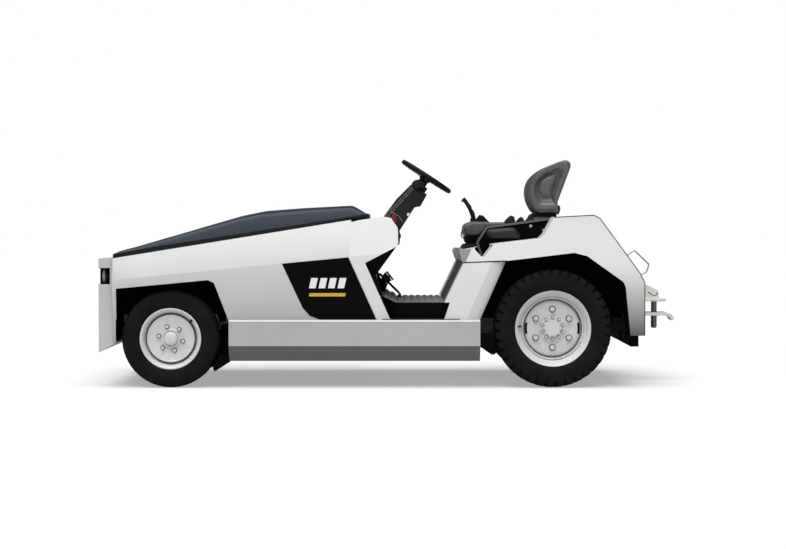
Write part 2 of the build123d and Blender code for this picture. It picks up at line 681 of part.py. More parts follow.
def make_front_springs():
    top = FRONT_TYRE_R
    springs = []
    for side in (1, -1):
        y = side * FRONT_SPRING_Y
        spring = leaf_spring(FRONT_AXLE_X, y, top, 330, 70)
        spring += block(FRONT_AXLE_X - 40, FRONT_AXLE_X + 40, y - 36, y + 36, top, top + 34)
        for end in (-322, 322):
            x = FRONT_AXLE_X + end
            spring += block(x - HANGER_W / 2, x + HANGER_W / 2, y - 32, y + 32,
                            top + 78, RAIL_BOTTOM_Z)
        springs.append(spring)
    return springs


def make_rear_springs():
    top = REAR_TYRE_R + AXLE_TUBE_R
    springs = []
    for side in (1, -1):
        y = side * REAR_SPRING_Y
        spring = leaf_spring(REAR_AXLE_X, y, top, 380, 55)
        spring += block(REAR_AXLE_X - 45, REAR_AXLE_X + 45, y - 36, y + 36, top - 6, top + 34)
        for end in (-372, 372):
            x = REAR_AXLE_X + end
            spring += block(x - HANGER_W / 2, x + HANGER_W / 2, side * RAIL_OUTER_Y, y + side * 32,
                            top + 60, RAIL_TOP_Z - 4)
        springs.append(spring - cylinder_y(REAR_AXLE_X, REAR_TYRE_R, AXLE_TUBE_R, y - 40, y + 40))
    return springs


KINGPIN_R = 15.0
EAR_GAP = 0.5
EAR_T = 20.0
EYE_LOW_Z = FRONT_TYRE_R - 60
EYE_HIGH_Z = FRONT_TYRE_R + 30
SPINDLE_R = 24.0
PLATE_IN = 36.0              # knuckle plate, outward from the kingpin
PLATE_OUT = 50.0
ARM_X = FRONT_AXLE_X - 110.0             # tie rod pins, straight behind the kingpins
ARM_LOW_Z = FRONT_TYRE_R - 44.0
ARM_T = 20.0
TIE_PIN_R = 9.0
TIE_EYE_R = 17.0
TIE_ROD_R = 14.0
TIE_ROD_Z = ARM_LOW_Z - 18.0


def make_knuckle():
    x, y = FRONT_AXLE_X, KINGPIN_Y
    high = EYE_HIGH_Z + EAR_GAP
    low = EYE_LOW_Z - EAR_GAP
    piece = block(x - 30, x + 30, y + PLATE_IN, y + PLATE_OUT, low - EAR_T, high + EAR_T)
    for z in (high, low - EAR_T):
        piece += block(x - 28, x + 28, y, y + PLATE_IN, z, z + EAR_T)
        piece += cylinder_z(x, y, 28, z, z + EAR_T)
    piece += cylinder_z(x, y, KINGPIN_R, low - EAR_T, high + EAR_T)
    piece += cylinder_y(x, FRONT_TYRE_R, SPINDLE_R, y + PLATE_IN, FRONT_WHEEL_Y + 40)
    piece += plan_prism([(x - 26, y + PLATE_IN), (x - 26, y + PLATE_OUT), (x - 66, y + PLATE_OUT),
                         (ARM_X - 12, y + 12), (ARM_X + 12, y - 12)], ARM_LOW_Z, ARM_LOW_Z + ARM_T)
    piece += cylinder_z(ARM_X, y, TIE_EYE_R, ARM_LOW_Z, ARM_LOW_Z + ARM_T)
    return piece - cylinder_z(ARM_X, y, TIE_PIN_R + RUNNING_GAP, ARM_LOW_Z - 10, ARM_LOW_Z + 30)


def make_tie_rod():
    piece = cylinder_y(ARM_X, TIE_ROD_Z, TIE_ROD_R, -KINGPIN_Y, KINGPIN_Y)
    for y in (KINGPIN_Y, -KINGPIN_Y):
        piece += cylinder_z(ARM_X, y, TIE_EYE_R, TIE_ROD_Z - 16, ARM_LOW_Z - EAR_GAP)
        piece += cylinder_z(ARM_X, y, TIE_PIN_R, TIE_ROD_Z, ARM_LOW_Z + ARM_T + 6)
    return piece


AXLE_TUBE_R = 45.0
HOUSING_R = 125.0
REAR_SPINDLE_R = 34.0
MOTOR_R = 112.0
MOTOR_GAP_X = 176.0
MOTOR_LENGTH = 350.0


def make_rear_axle():
    x, z = REAR_AXLE_X, REAR_TYRE_R
    axle = cylinder_y(x, z, AXLE_TUBE_R, 120 - REAR_WHEEL_Y, REAR_WHEEL_Y - 120)
    # half outline of the gear housing about the axle: radius, distance along the axle
    outline = [(0, -150), (AXLE_TUBE_R + 8, -150), (HOUSING_R, -60), (HOUSING_R, 60),
               (AXLE_TUBE_R + 8, 150), (0, 150)]
    axle += Pos(x, 0, z) * revolve(Polygon(*outline, align=None), axis=Axis.Y)
    axle += Pos(x + 90, 0, z) * Rot(0, 90, 0) * Cylinder(
        80, MOTOR_GAP_X - 90, align=(Align.CENTER, Align.CENTER, Align.MIN))
    axle += cylinder_y(x, z, REAR_SPINDLE_R, -(REAR_WHEEL_Y + 10), REAR_WHEEL_Y + 10)
    return axle


def make_drive_motor():
    motor = Pos(REAR_AXLE_X + MOTOR_GAP_X, 0, REAR_TYRE_R) * Rot(0, 90, 0) * Cylinder(
        MOTOR_R, MOTOR_LENGTH, align=(Align.CENTER, Align.CENTER, Align.MIN))
    return motor


BATTERY_FRONT_X = FRONT_AXLE_X - 170.0
BATTERY_REAR_X = COWL_X + 71.0
BATTERY_H = 350.0


def make_battery():
    return block(BATTERY_REAR_X, BATTERY_FRONT_X, -RAIL_OUTER_Y, RAIL_OUTER_Y,
                 RAIL_TOP_Z, RAIL_TOP_Z + BATTERY_H)


# Wheels: half outlines as radius and distance outward from the wheel's middle

def ring(points):
    """Solid of revolution about the wheel's axle from (radius, outward) points."""
    return revolve(Polygon(*points, align=None), axis=Axis.Y)


def rim_barrel(flange_r, half_w, seat_drop, well_drop, wall):
    """Barrel of a wheel rim: flanges, bead seats and drop well, as one closed band."""
    seat_r = flange_r - seat_drop
    well_r = seat_r - well_drop
    outer = [(flange_r, half_w), (flange_r, half_w - wall), (seat_r, half_w - 12),
             (seat_r - 2, half_w * 0.5), (well_r, half_w * 0.3), (well_r, -half_w * 0.3),
             (seat_r - 2, -half_w * 0.5), (seat_r, 12 - half_w), (flange_r, wall - half_w),
             (flange_r, -half_w)]
    inner = [(flange_r - wall - 1, half_w), (seat_r - wall, half_w - 9),
             (seat_r - wall - 2, half_w * 0.5 + 3), (well_r - wall, half_w * 0.3 + 3),
             (well_r - wall, -half_w * 0.3 - 3), (seat_r - wall - 2, -half_w * 0.5 - 3),
             (seat_r - wall, 9 - half_w), (flange_r - wall - 1, -half_w)]
    return ring(outer + inner[::-1])


RIM_WALL = 6.0
FRONT_RIM_HALF = 72.0
REAR_RIM_HALF = 84.0
SEAT_DROP = 18.0
FRONT_WELL = 14.0
REAR_WELL = 22.0


def make_front_rim():
    rim = rim_barrel(FRONT_FLANGE_R, FRONT_RIM_HALF, SEAT_DROP, FRONT_WELL, RIM_WALL)
    edge = FRONT_FLANGE_R - SEAT_DROP - FRONT_WELL - RIM_WALL + 1
    fold, foot = edge * 0.819, edge * 0.644
    disc = ring([(edge, 14), (edge, 22), (fold, 38), (foot, 32), (58, 32), (57, 40), (44, 41),
                 (40, 52), (26, 57), (0, 58), (0, 50), (30, 44), (30, 24), (foot, 24), (fold, 30)])
    hub = ring([(SPINDLE_R + RUNNING_GAP, -14), (46, -14), (46, 26), (SPINDLE_R + RUNNING_GAP, 26)])
    rim += disc + hub
    for nut in range(6):
        rim += Rot(0, 60 * nut + 30, 0) * Pos(edge * 0.537, 0, 0) * Rot(-90, 0, 0) * extrude(
            Plane.XY.offset(30) * RegularPolygon(11, 6), amount=16)
    return rim


def make_rear_rim():
    rim = rim_barrel(REAR_FLANGE_R, REAR_RIM_HALF, SEAT_DROP, REAR_WELL, RIM_WALL)
    edge = REAR_FLANGE_R - SEAT_DROP - REAR_WELL - RIM_WALL + 1
    bore = REAR_SPINDLE_R + RUNNING_GAP
    lip, dish = edge * 0.93, edge * 0.811
    disc = ring([(edge, 8), (edge, 18), (lip, 20), (dish, 6), (96, 6), (84, 8), (84, 22), (60, 26),
                 (52, 30), (50, 42), (0, 44), (0, 36), (40, 30), (bore, 14), (bore, -40), (70, -40),
                 (70, -4), (dish, -4), (lip, 8)])
    for side in (1, -1):
        slot = Pos(side * (lip + dish) / 2, 0, 0) * Box(20, 80, 84)
        disc -= slot
    rim += disc
    for nut in range(6):
        rim += Rot(0, 60 * nut + 30, 0) * Pos(edge * 0.622, 0, 0) * Rot(-90, 0, 0) * extrude(
            Plane.XY.offset(4) * RegularPolygon(19, 6), amount=24)
    return rim


def tyre_ring(tyre_r, tyre_w, flange_r, rim_half, crown):
    """Closed tyre outline: beads on the rim seats, sidewalls, shoulders and crown."""
    seat = flange_r - SEAT_DROP + RIM_TO_TYRE
    half_w = tyre_w / 2
    wall_h = tyre_r - flange_r
    half = [(seat, rim_half - 13), (flange_r + 0.5, rim_half - RIM_WALL - 1),
            (flange_r + 0.1 * wall_h, half_w - 6), (flange_r + 0.4 * wall_h, half_w),
            (flange_r + 0.72 * wall_h, half_w - 2), (tyre_r - 12, half_w - 8),
            (tyre_r - crown, half_w - 22), (tyre_r, half_w * 0.35)]
    return ring(half + [(r, -y) for r, y in reversed(half)])


def make_front_tyre():
    return tyre_ring(FRONT_TYRE_R, FRONT_TYRE_W, FRONT_FLANGE_R, FRONT_RIM_HALF, 3)


LUGS = 26                    # shoulder lugs on each side of a rear tyre
LUG_GROOVE_W = 20.0
LUG_GROOVE_DEPTH = 15.0
LUG_L = 50.0                 # inwards from the sidewall


def make_rear_tyre():
    """The rear tyre with a ring of lugs on each shoulder, the two rings half a pitch apart."""
    tyre = tyre_ring(REAR_TYRE_R, REAR_TYRE_W, REAR_FLANGE_R, REAR_RIM_HALF, 3)
    grooves = []
    for lug in range(LUGS):
        for side, lead in ((1, 0.0), (-1, 0.5)):
            groove = Pos(REAR_TYRE_R, side * REAR_TYRE_W / 2, 0) * Box(
                2 * LUG_GROOVE_DEPTH, 2 * LUG_L, LUG_GROOVE_W)
            grooves.append(Rot(0, (lug + lead) * 360 / LUGS, 0) * groove)
    return tyre - grooves


def save_wheel(name, part, x, y, z):
    """Writes a wheel piece on both sides, its outer face turned outward on each."""
    save(name + "_left", Pos(x, y, z) * part)
    save(name + "_right", Pos(x, -y, z) * Rot(0, 0, 180) * part)


# Hitch at the rear: two plates, gussets and a drop pin

HITCH_PLATE_Y = 80.0
GUSSET_Y = 44.0
GUSSET_T = 12.0
PIN_LOW_Z = 325.0
PIN_END_ROUND = 12.0
PIN_END_TOP_Z = LOWER_PLATE_TOP_Z - LOWER_PLATE_T - 2.0
PIN_HIGH_Z = 540.0
COLLAR_R = 28.0


def make_hitch():
    face = REAR_FACE_X
    back = block(face - 14, face, -110, 110, 375, 620)
    top = UPPER_PLATE_Z + UPPER_PLATE_T
    wide_x, tip_x = PIN_X - 29, PIN_X - 70
    upper = plan_prism([(face - 14, -HITCH_PLATE_Y), (face - 14, HITCH_PLATE_Y),
                        (wide_x, HITCH_PLATE_Y), (tip_x, 50), (tip_x, -50),
                        (wide_x, -HITCH_PLATE_Y)], UPPER_PLATE_Z, top)
    lower = bent_sheet([(face - 14, LOWER_PLATE_TOP_Z), (PIN_X - 74, LOWER_PLATE_TOP_Z),
                        (PIN_X - 107, 412), (HITCH_END_X, 385)], LOWER_PLATE_T,
                       -HITCH_PLATE_Y, HITCH_PLATE_Y)
    hitch = back + upper + lower
    for side in (1, -1):
        hitch += side_prism([(face - 14, 612), (PIN_X + 47, 601), (PIN_X - 19, 567), (wide_x, top),
                             (face - 14, top)], side * GUSSET_Y, side * (GUSSET_Y + GUSSET_T))
    return hitch - cylinder_z(PIN_X, 0, PIN_R + PIN_BORE_GAP, 350, top + 5)


def make_hitch_pin():
    end = cylinder_z(PIN_X, 0, PIN_R, PIN_LOW_Z, PIN_END_TOP_Z)
    end = fillet(end.edges().sort_by(Axis.Z)[0], PIN_END_ROUND)
    shaft = end + cylinder_z(PIN_X, 0, PIN_SHANK_R, PIN_END_TOP_Z - 1, PIN_HIGH_Z)
    top = UPPER_PLATE_Z + UPPER_PLATE_T
    collar = cylinder_z(PIN_X, 0, COLLAR_R, top + 0.3, top + 10)
    handle = bar((PIN_X, 0, PIN_HIGH_Z - 6), (PIN_X + 46, 0, PIN_HIGH_Z - 6), 6)
    return shaft + collar + handle


# Rear details

def make_tail_lamps():
    lamps = []
    for side in (1, -1):
        lamps.append(Pos(REAR_FACE_X, side * (FENDER_OUTER_Y - 133), 545) * Rot(0, -90, 0) * Cylinder(
            42, 9, align=(Align.CENTER, Align.CENTER, Align.MIN)))
    return lamps


def make_rear_loops():
    route = ahead(REAR_AXLE_X, [(-433, 790), (-491, 829), (-579, 744), (-565, 700), (-513, 672)])
    y = FENDER_OUTER_Y - 45
    body = side_prism(FENDER_TOP + [(REAR_FACE_X, 300), (REAR_AXLE_X, 300)], y - 90, y + 45)
    loop = rod([(x, y, z) for x, z in route], 4.5, 9) - body
    return loop, right_of(loop)


# Driver's seat

SEAT_HALF_Y = 245.0
SEAT_PAD_Y = 205.0
SEAT_GAP = 0.3
BACK_OUTLINE = ahead(REAR_AXLE_X, [
    (-122, 1393), (-154, 1370), (-154, 1345), (-114, 1237), (-67, 1114), (-87, 1086),
    (-79, 1058), (105, 1050), (141, 1133), (149, 1187), (138, 1237), (113, 1280),
    (73, 1316), (16, 1349), (-75, 1383),
])
BACK_POCKET = ahead(REAR_AXLE_X, [(-118, 1400), (-124, 1345), (-84, 1237), (-37, 1114), (-47, 1000)])
PAN_BOTTOM = ahead(REAR_AXLE_X, [(441, 884.0), (-43, 914.0)])


def deck_z(x):
    """Height of the seat deck at x."""
    for (x0, z0), (x1, z1) in zip(DECK_TOP, DECK_TOP[1:]):
        if x >= x1:
            return z0 + (z1 - z0) * (x - x0) / (x1 - x0)
    return DECK_TOP[-1][1]


def pan_z(x):
    """Height of the seat pan's underside at x."""
    (x0, z0), (x1, z1) = PAN_BOTTOM
    return z0 + (z1 - z0) * (x - x0) / (x1 - x0)


def make_seat_base():
    at = REAR_AXLE_X
    pan = side_prism(ahead(at, [(437, 904), (380, 960), (357, 935), (-28, 950)]) + PAN_BOTTOM[::-1],
                     -SEAT_HALF_Y, SEAT_HALF_Y)
    front_x, rear_x = at + 317, at - 23
    pan -= side_prism([(front_x, pan_z(front_x) + 9), (front_x, 1000), (rear_x, 1000),
                       (rear_x, pan_z(rear_x) + 9)], 9 - SEAT_HALF_Y, SEAT_HALF_Y - 9)
    foot_front, foot_rear = at + 417, at + 52
    foot = [(foot_front, deck_z(foot_front))] + DECK_TOP[1:3] + [
        (foot_rear, deck_z(foot_rear)), (foot_rear, pan_z(foot_rear)), (foot_front, pan_z(foot_front))]
    for side in (1, -1):
        pan += side_prism(foot, side * 150, side * 190)
    pan += side_prism(ahead(at, [(-28, 950), (-43, 914), (-67, 914), (-67, 1057.3), (-47, 1056.4)]),
                      -150, 150)
    return pan


def make_seat_cushion():
    g = SEAT_GAP
    outline = ahead(REAR_AXLE_X, [
        (523, 935), (517, 985), (473, 1010), (317, 1008), (122, 1016), (92, 1040), (10, 1046),
        (-28, 1040), (-28, 950 + g),
        (357, 935 + g), (380, 960 + 2 * g), (438, 904 + g), (507, 905)])
    return side_prism(outline, -SEAT_PAD_Y - 25, SEAT_PAD_Y + 25)


def make_seat_back():
    shell = side_prism(BACK_OUTLINE, -SEAT_HALF_Y, SEAT_HALF_Y)
    pocket = BACK_POCKET + [(REAR_AXLE_X + 257, 1000), (REAR_AXLE_X + 257, 1400)]
    shell -= side_prism(pocket, -SEAT_PAD_Y, SEAT_PAD_Y)
    return shell


def make_seat_back_pad():
    g = SEAT_GAP
    outline = ahead(REAR_AXLE_X, [
        (-120 + g, 1378), (-124 + g, 1345), (-84 + g, 1237), (-37 + g, 1114),
        (-41.6 + g, 1062), (52, 1050), (67, 1114), (27, 1237), (-8, 1330), (-33, 1372)])
    return side_prism(outline, -SEAT_PAD_Y + g, SEAT_PAD_Y - g)


def make_brake_lever():
    y = -(SEAT_HALF_Y + 85)
    at = REAR_AXLE_X
    foot_x, front_x, rear_x = at + 397, at + 437, at + 357
    lever = rod([(foot_x, y, deck_z(foot_x) + 20), (at + 422, y, 1000), (at + 437, y, 1066),
                 (at + 499, y, 1150)], 7, 30)
    grip = bar((at + 457, y, 1093), (at + 505, y, 1158), 13)
    quadrant = side_prism([(front_x, deck_z(front_x)), (front_x, 880), (front_x - 25, 905),
                           (rear_x, 905), (rear_x, deck_z(rear_x))], y - 20, y + 20)
    return lever + grip + quadrant


def make_pedals():
    throttle = bent_sheet(ahead(COWL_X, [(-296, 533), (-159, 668)]), 8, -190, -125)
    throttle += block(COWL_X - 304, COWL_X - 284, -180, -135, FLOOR_TOP_Z, 536)
    brake = bent_sheet(ahead(COWL_X, [(-247, 632), (-207, 684)]), 10, 10, 110)
    arm = bent_sheet(ahead(COWL_X, [(-235, 655), (-189, 530)]), 12, 45, 75)
    arm -= side_prism(FOOTWELL[3:] + [(FLOOR_FRONT_X, 400), (COWL_X, 400), (COWL_X, 573)], 0, 200)
    return throttle, brake + arm


def save_all():
    os.makedirs("parts", exist_ok=True)
    save("front_bumper", make_bumper())
    save("headlamps", *make_headlamps())
    save_pair("body_side", make_body_side())
    save_pair("access_panel", make_access_panel())
    save("hood", make_hood())
    save("hood_seal", make_hood_seal())
    save("cowl", make_cowl())
    save("footwell", make_footwell())
    guard = make_leg_guard()
    save("leg_guards", guard, right_of(guard))
    save("dash_panel", make_dash())
    cover, button = make_column()
    save("steering_column", cover)
    save("stop_button", button)
    save("steering_wheel", make_steering_wheel())
    save_pair("sill", make_sill())
    save("floor_plate", make_floor())
    save_pair("step_riser", make_step_riser())
    save("seat_box", make_seat_box())
    save_pair("rear_side", make_rear_side())
    save("seat_deck", make_seat_deck())
    save_pair("fender", make_fender())
    save("rear_cover", make_rear_cover())
    save_pair("front_liner", make_front_liner())
    front, rear = make_rear_liner()
    save("rear_liner_left", front, rear)
    save("rear_liner_right", right_of(front), right_of(rear))
    save("chassis_frame", make_chassis())
    save("front_axle", make_front_axle())
    save("front_springs", *make_front_springs())
    save("rear_springs", *make_rear_springs())
    save_pair("knuckle", make_knuckle())
    save("tie_rod", make_tie_rod())
    save("rear_axle", make_rear_axle())
    save("drive_motor", make_drive_motor())
    save("battery_block", make_battery())
    front_place = (FRONT_AXLE_X, FRONT_WHEEL_Y, FRONT_TYRE_R)
    rear_place = (REAR_AXLE_X, REAR_WHEEL_Y, REAR_TYRE_R)
    save_wheel("front_rim", make_front_rim(), *front_place)
    save_wheel("front_tyre", make_front_tyre(), *front_place)
    save_wheel("rear_rim", make_rear_rim(), *rear_place)
    save_wheel("rear_tyre", make_rear_tyre(), *rear_place)
    save("hitch_bracket", make_hitch())
    save("hitch_pin", make_hitch_pin())
    save("tail_lamps", *make_tail_lamps())
    save("rear_loops", *make_rear_loops())
    save("seat_base", make_seat_base())
    save("seat_cushion", make_seat_cushion())
    save("seat_back", make_seat_back())
    save("seat_back_pad", make_seat_back_pad())
    save("brake_lever", make_brake_lever())
    save("pedals", *make_pedals())


save_all()
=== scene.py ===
from math import cos, pi, radians, sin, tan

import bmesh
import bpy
import numpy as np
from bpy.props import FloatProperty, FloatVectorProperty, IntProperty, PointerProperty
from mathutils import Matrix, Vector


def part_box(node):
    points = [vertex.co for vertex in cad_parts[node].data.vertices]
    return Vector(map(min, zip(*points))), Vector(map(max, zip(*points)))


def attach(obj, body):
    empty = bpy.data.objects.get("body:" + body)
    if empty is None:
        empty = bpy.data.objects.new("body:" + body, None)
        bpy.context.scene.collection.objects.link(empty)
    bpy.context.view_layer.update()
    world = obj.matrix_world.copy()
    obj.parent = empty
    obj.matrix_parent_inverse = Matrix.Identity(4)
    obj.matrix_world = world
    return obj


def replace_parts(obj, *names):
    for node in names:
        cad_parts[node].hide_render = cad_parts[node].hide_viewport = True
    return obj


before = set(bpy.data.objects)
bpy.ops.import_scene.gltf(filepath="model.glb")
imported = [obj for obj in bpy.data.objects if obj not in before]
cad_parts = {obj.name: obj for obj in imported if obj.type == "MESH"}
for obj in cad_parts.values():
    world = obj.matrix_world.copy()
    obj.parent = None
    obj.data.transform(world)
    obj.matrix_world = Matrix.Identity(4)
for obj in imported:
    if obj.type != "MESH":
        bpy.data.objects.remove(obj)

bl_info = {
    "name": "Airport baggage tug",
    "version": (1, 0, 0),
    "blender": (4, 5, 0),
    "location": "3D View > Sidebar > Baggage tug",
    "description": "Dresses the packed model of an electric airport baggage tug",
    "category": "Add Mesh",
}

# Sizes shared with the frame, in metres
FRONT_AXLE_X, REAR_AXLE_X, COWL_X = 1.350, -0.957, 0.259
FRONT_R, REAR_R = 0.296, 0.357
FRONT_Y, REAR_Y = 0.640, 0.632
BODY_FRONT_X = 1.695
STEERING = (-0.205, 0.0, 1.292)
TILT = radians(33.0)


# Colours and sizes that a user may change

def colour(name, default, description):
    """A colour that the panel shows, each channel from 0 to 1."""
    return FloatVectorProperty(name=name, description=description, default=default,
                               subtype="COLOR", size=3, min=0.0, max=1.0)


def length(name, default, description):
    """A length in metres that the panel shows."""
    return FloatProperty(name=name, description=description, default=default,
                         unit="LENGTH", subtype="DISTANCE", min=0.0)


class TugColours(bpy.types.PropertyGroup):
    """Colours of the tug's paints, rubber, vinyl and stripes"""
    body: colour("Body", (0.78, 0.785, 0.78), "Paint of the body panels")
    hood: colour("Hood", (0.013, 0.021, 0.034), "Paint of the hood")
    sill: colour("Sill", (0.42, 0.425, 0.42), "Paint of the sills")
    nose: colour("Nose", (0.50, 0.50, 0.50), "Paint of the bumper")
    black: colour("Black", (0.0025, 0.0025, 0.003), "Black panels and liners")
    tyre: colour("Tyre", (0.0055, 0.0055, 0.0050), "Tyre rubber")
    rim: colour("Rim", (0.62, 0.63, 0.62), "Wheel paint")
    seat: colour("Seat", (0.074, 0.075, 0.075), "Seat vinyl")
    floor: colour("Floor plate", (0.16, 0.16, 0.15), "Perforated floor")
    hitch: colour("Hitch", (0.62, 0.62, 0.59), "Hitch paint")
    stripe_pale: colour("Pale stripes", (0.85, 0.85, 0.85), "Pale stripes on the black panel")
    stripe_warm: colour("Warm stripe", (0.62, 0.40, 0.03), "Warm stripe on the black panel")


class TugSizes(bpy.types.PropertyGroup):
    """Sizes and counts of the fine detail: edges, tread and the floor's holes"""
    panel_edge: length("Panel edge", 0.0016, "Radius on the edges of sheet panels")
    lug_count: IntProperty(name="Lugs", description="Shoulder lugs on each side of a rear tyre",
                           default=36, min=8, max=60)
    lug_depth: length("Lug depth", 0.014, "Depth of the grooves between the lugs")
    sipe_count: IntProperty(name="Sipes", description="Shoulder sipes round a front tyre",
                            default=60, min=8, max=120)
    sipe_depth: length("Sipe depth", 0.004, "Depth of the front tyre's shoulder sipes")
    hole_pitch: length("Hole pitch", 0.0375, "Pitch of the holes in the floor plate")
    hole_radius: length("Hole radius", 0.0095, "Radius of the holes in the floor plate")
    collar_height: length("Collar height", 0.005, "Height of the raised edge of each hole")


class TugStage(bpy.types.PropertyGroup):
    """Strengths and angles of the lights, and the camera's place"""
    sky: FloatProperty(name="Sky", description="Strength of the studio's even light", default=0.14)
    top: FloatProperty(name="Top", description="Strength of the broad light overhead", default=4.0)
    fill: FloatProperty(name="Fill", description="Strength of the low light from the near side",
                        default=0.55)
    lean: FloatProperty(name="Lean", description="Lean of the broad light towards the near side",
                        default=radians(17.0), subtype="ANGLE", unit="ROTATION")
    spread: FloatProperty(name="Spread", description="Angle that the broad light covers",
                          default=radians(64.0), subtype="ANGLE", unit="ROTATION")
    camera_back: length("Camera distance", 12.15, "Camera's distance from the middle plane")
    camera_height: length("Camera height", 0.964, "Camera's height above the floor")


def colours():
    """The scene's colours, as the panel shows them."""
    return bpy.context.scene.tug_colours


def sizes():
    """The scene's sizes, as the panel shows them."""
    return bpy.context.scene.tug_sizes


# Materials

def tint(base, factor, lift=0.0):
    """Opaque colour: each channel times a factor plus a lift, and 1 at most."""
    return (*(min(v * factor + lift, 1.0) for v in base), 1.0)


class Finish:
    """A material in the making, and short ways to add nodes to it."""

    def __init__(self, name):
        self.material = bpy.data.materials.new(name)
        self.material.use_nodes = True
        self.tree = self.material.node_tree
        self.shader = self.tree.nodes["Principled BSDF"]

    def feed(self, inputs, node=None):
        """Links each input to a socket or sets its value, on the shader where no node is given."""
        target = self.shader if node is None else node
        for name, value in inputs.items():
            if isinstance(value, bpy.types.NodeSocket):
                self.tree.links.new(value, target.inputs[name])
            else:
                target.inputs[name].default_value = value

    def node(self, kind, output, inputs, **settings):
        """Adds a node, and gives the socket that its result leaves by."""
        node = self.tree.nodes.new("ShaderNode" + kind)
        for name, value in settings.items():
            setattr(node, name, value)
        self.feed(inputs, node)
        return node.outputs[output]

    def place(self):
        """The object's own coordinates."""
        return self.node("TexCoord", "Object", {})

    def noise(self, scale, detail, rough=0.55):
        """Cloudy noise, so many clouds to a metre."""
        return self.node("TexNoise", "Fac", {"Vector": self.place(), "Scale": scale,
                                             "Detail": detail, "Roughness": rough})

    def cells(self, scale, feature="F1"):
        """Distance from the middle, or from the edge, of the nearest of many small cells."""
        return self.node("TexVoronoi", "Distance", {"Vector": self.place(), "Scale": scale},
                         feature=feature)

    def spread(self, source, low, high, out_low=0.0, out_high=1.0):
        """Maps a value from one range to another, clamped."""
        return self.node("MapRange", "Result", {"Value": source, "From Min": low, "From Max": high,
                                                "To Min": out_low, "To Max": out_high})

    def mixed(self, share, first, second):
        """The first colour where the share is 0, the second where it is 1."""
        return self.node("Mix", "Result", {"Factor": share, "A": first, "B": second},
                         data_type="RGBA")

    def low_down(self, base, top):
        """1 up to a base height, falling to 0 at a top height."""
        height = self.node("SeparateXYZ", "Z", {"Vector": self.place()})
        return self.spread(height, base, top, 1.0, 0.0)

    def bump(self, height, distance, strength=1.0, under=None):
        """Bump as deep as the distance, over another bump where one is given."""
        inputs = {"Height": height, "Distance": distance, "Strength": strength}
        if under is not None:
            inputs["Normal"] = under
        normal = self.node("Bump", "Normal", inputs)
        self.feed({"Normal": normal})
        return normal


def paint(name, base, rough, coat=0.0, dust=(0.25, 0.23, 0.20), dust_share=0.25, peel=0.00006,
          gloss=0.5, shade_tone=1.0, shade_top=1.0, shade_base=0.1):
    """Sprayed paint: faint orange peel and cloudy gloss, painted shade that darkens the tone
    towards the ground where a shade tone is given, and specks of road dust that thin out upwards."""
    finish = Finish(name)
    speck = finish.noise(46.0, 6.0, 0.7)
    cloud = finish.spread(finish.noise(2.3, 5.0), 0.3, 0.7)
    tone = finish.mixed(cloud, tint(base, 0.965), tint(base, 1.03))
    # painted shade: below the shade top the tone darkens towards the shade tone
    if shade_tone < 1.0:
        tone = finish.mixed(finish.low_down(shade_base, shade_top), tone, tint(base, shade_tone))
    dusty = finish.node("Math", "Value", {0: finish.spread(speck, 0.42, 0.75, 0.0, dust_share),
                                          1: finish.low_down(0.1, 0.75)}, operation="MULTIPLY")
    finish.feed({"Base Color": finish.mixed(dusty, tone, tint(dust, 1.0)),
                 "Roughness": finish.spread(speck, 0.3, 0.8, rough * 0.85, rough * 1.2),
                 "Coat Weight": coat, "Coat Roughness": 0.06, "Specular IOR Level": gloss})
    finish.bump(finish.noise(420.0, 2.0), peel)
    return finish


def rubber(name, base, rough=0.78, grain=0.0002, scale=260.0, dusty=0.0, gloss=0.12):
    """Rubber: fine pores under clouds of grey dust."""
    finish = Finish(name)
    pore = finish.noise(scale, 6.0, 0.7)
    cloud = finish.spread(finish.noise(9.0, 4.0), 0.35, 0.75, 0.0, 0.3 + dusty)
    finish.feed({"Base Color": finish.mixed(cloud, tint(base, 1.0), tint(base, 1.9, 0.004)),
                 "Roughness": finish.spread(pore, 0.3, 0.8, rough * 0.9, min(rough * 1.12, 1.0)),
                 "Specular IOR Level": gloss})
    finish.bump(pore, grain)
    return finish


def moulded(name, base, rough=0.5, grain=0.00025, scale=700.0, gloss=0.3):
    """Moulded plastic: cloudy tone and gloss over a fine pebble grain."""
    finish = Finish(name)
    cloud = finish.noise(14.0, 5.0)
    finish.feed({"Base Color": finish.mixed(cloud, tint(base, 0.8), tint(base, 1.25)),
                 "Roughness": finish.spread(cloud, 0.3, 0.7, rough * 0.85, rough * 1.2),
                 "Specular IOR Level": gloss})
    finish.bump(finish.cells(scale), grain, 0.6)
    return finish


def sill_paint(name, base):
    """Sill paint, with painted shade on the facet under the bend, which is coloured dark grey."""
    finish = paint(name, base, rough=0.42, dust_share=0.22, peel=0.0001)
    unshaded = finish.shader.inputs["Base Color"].links[0].from_socket
    # painted shade: the facet under the bend takes a dark grey in place of the paint
    under_bend = finish.low_down(0.252, 0.257)
    finish.feed({"Base Color": finish.mixed(under_bend, unshaded, (0.108, 0.110, 0.107, 1.0))})
    return finish


def vinyl(name, base):
    """Grained seat vinyl: pebbles of leather grain over soft creases, with a low sheen."""
    finish = Finish(name)
    crease = finish.noise(26.0, 5.0, 0.6)
    tone = finish.mixed(finish.spread(crease, 0.3, 0.7), tint(base, 0.75), tint(base, 1.3))
    finish.feed({"Base Color": tone, "Roughness": finish.spread(crease, 0.3, 0.7, 0.42, 0.58),
                 "Sheen Weight": 0.08, "Specular IOR Level": 0.3})
    folds = finish.bump(crease, 0.0022, 0.5)
    pebbles = finish.spread(finish.cells(330.0, "DISTANCE_TO_EDGE"), 0.0, 0.12)
    finish.bump(pebbles, 0.00022, 0.7, under=folds)
    return finish


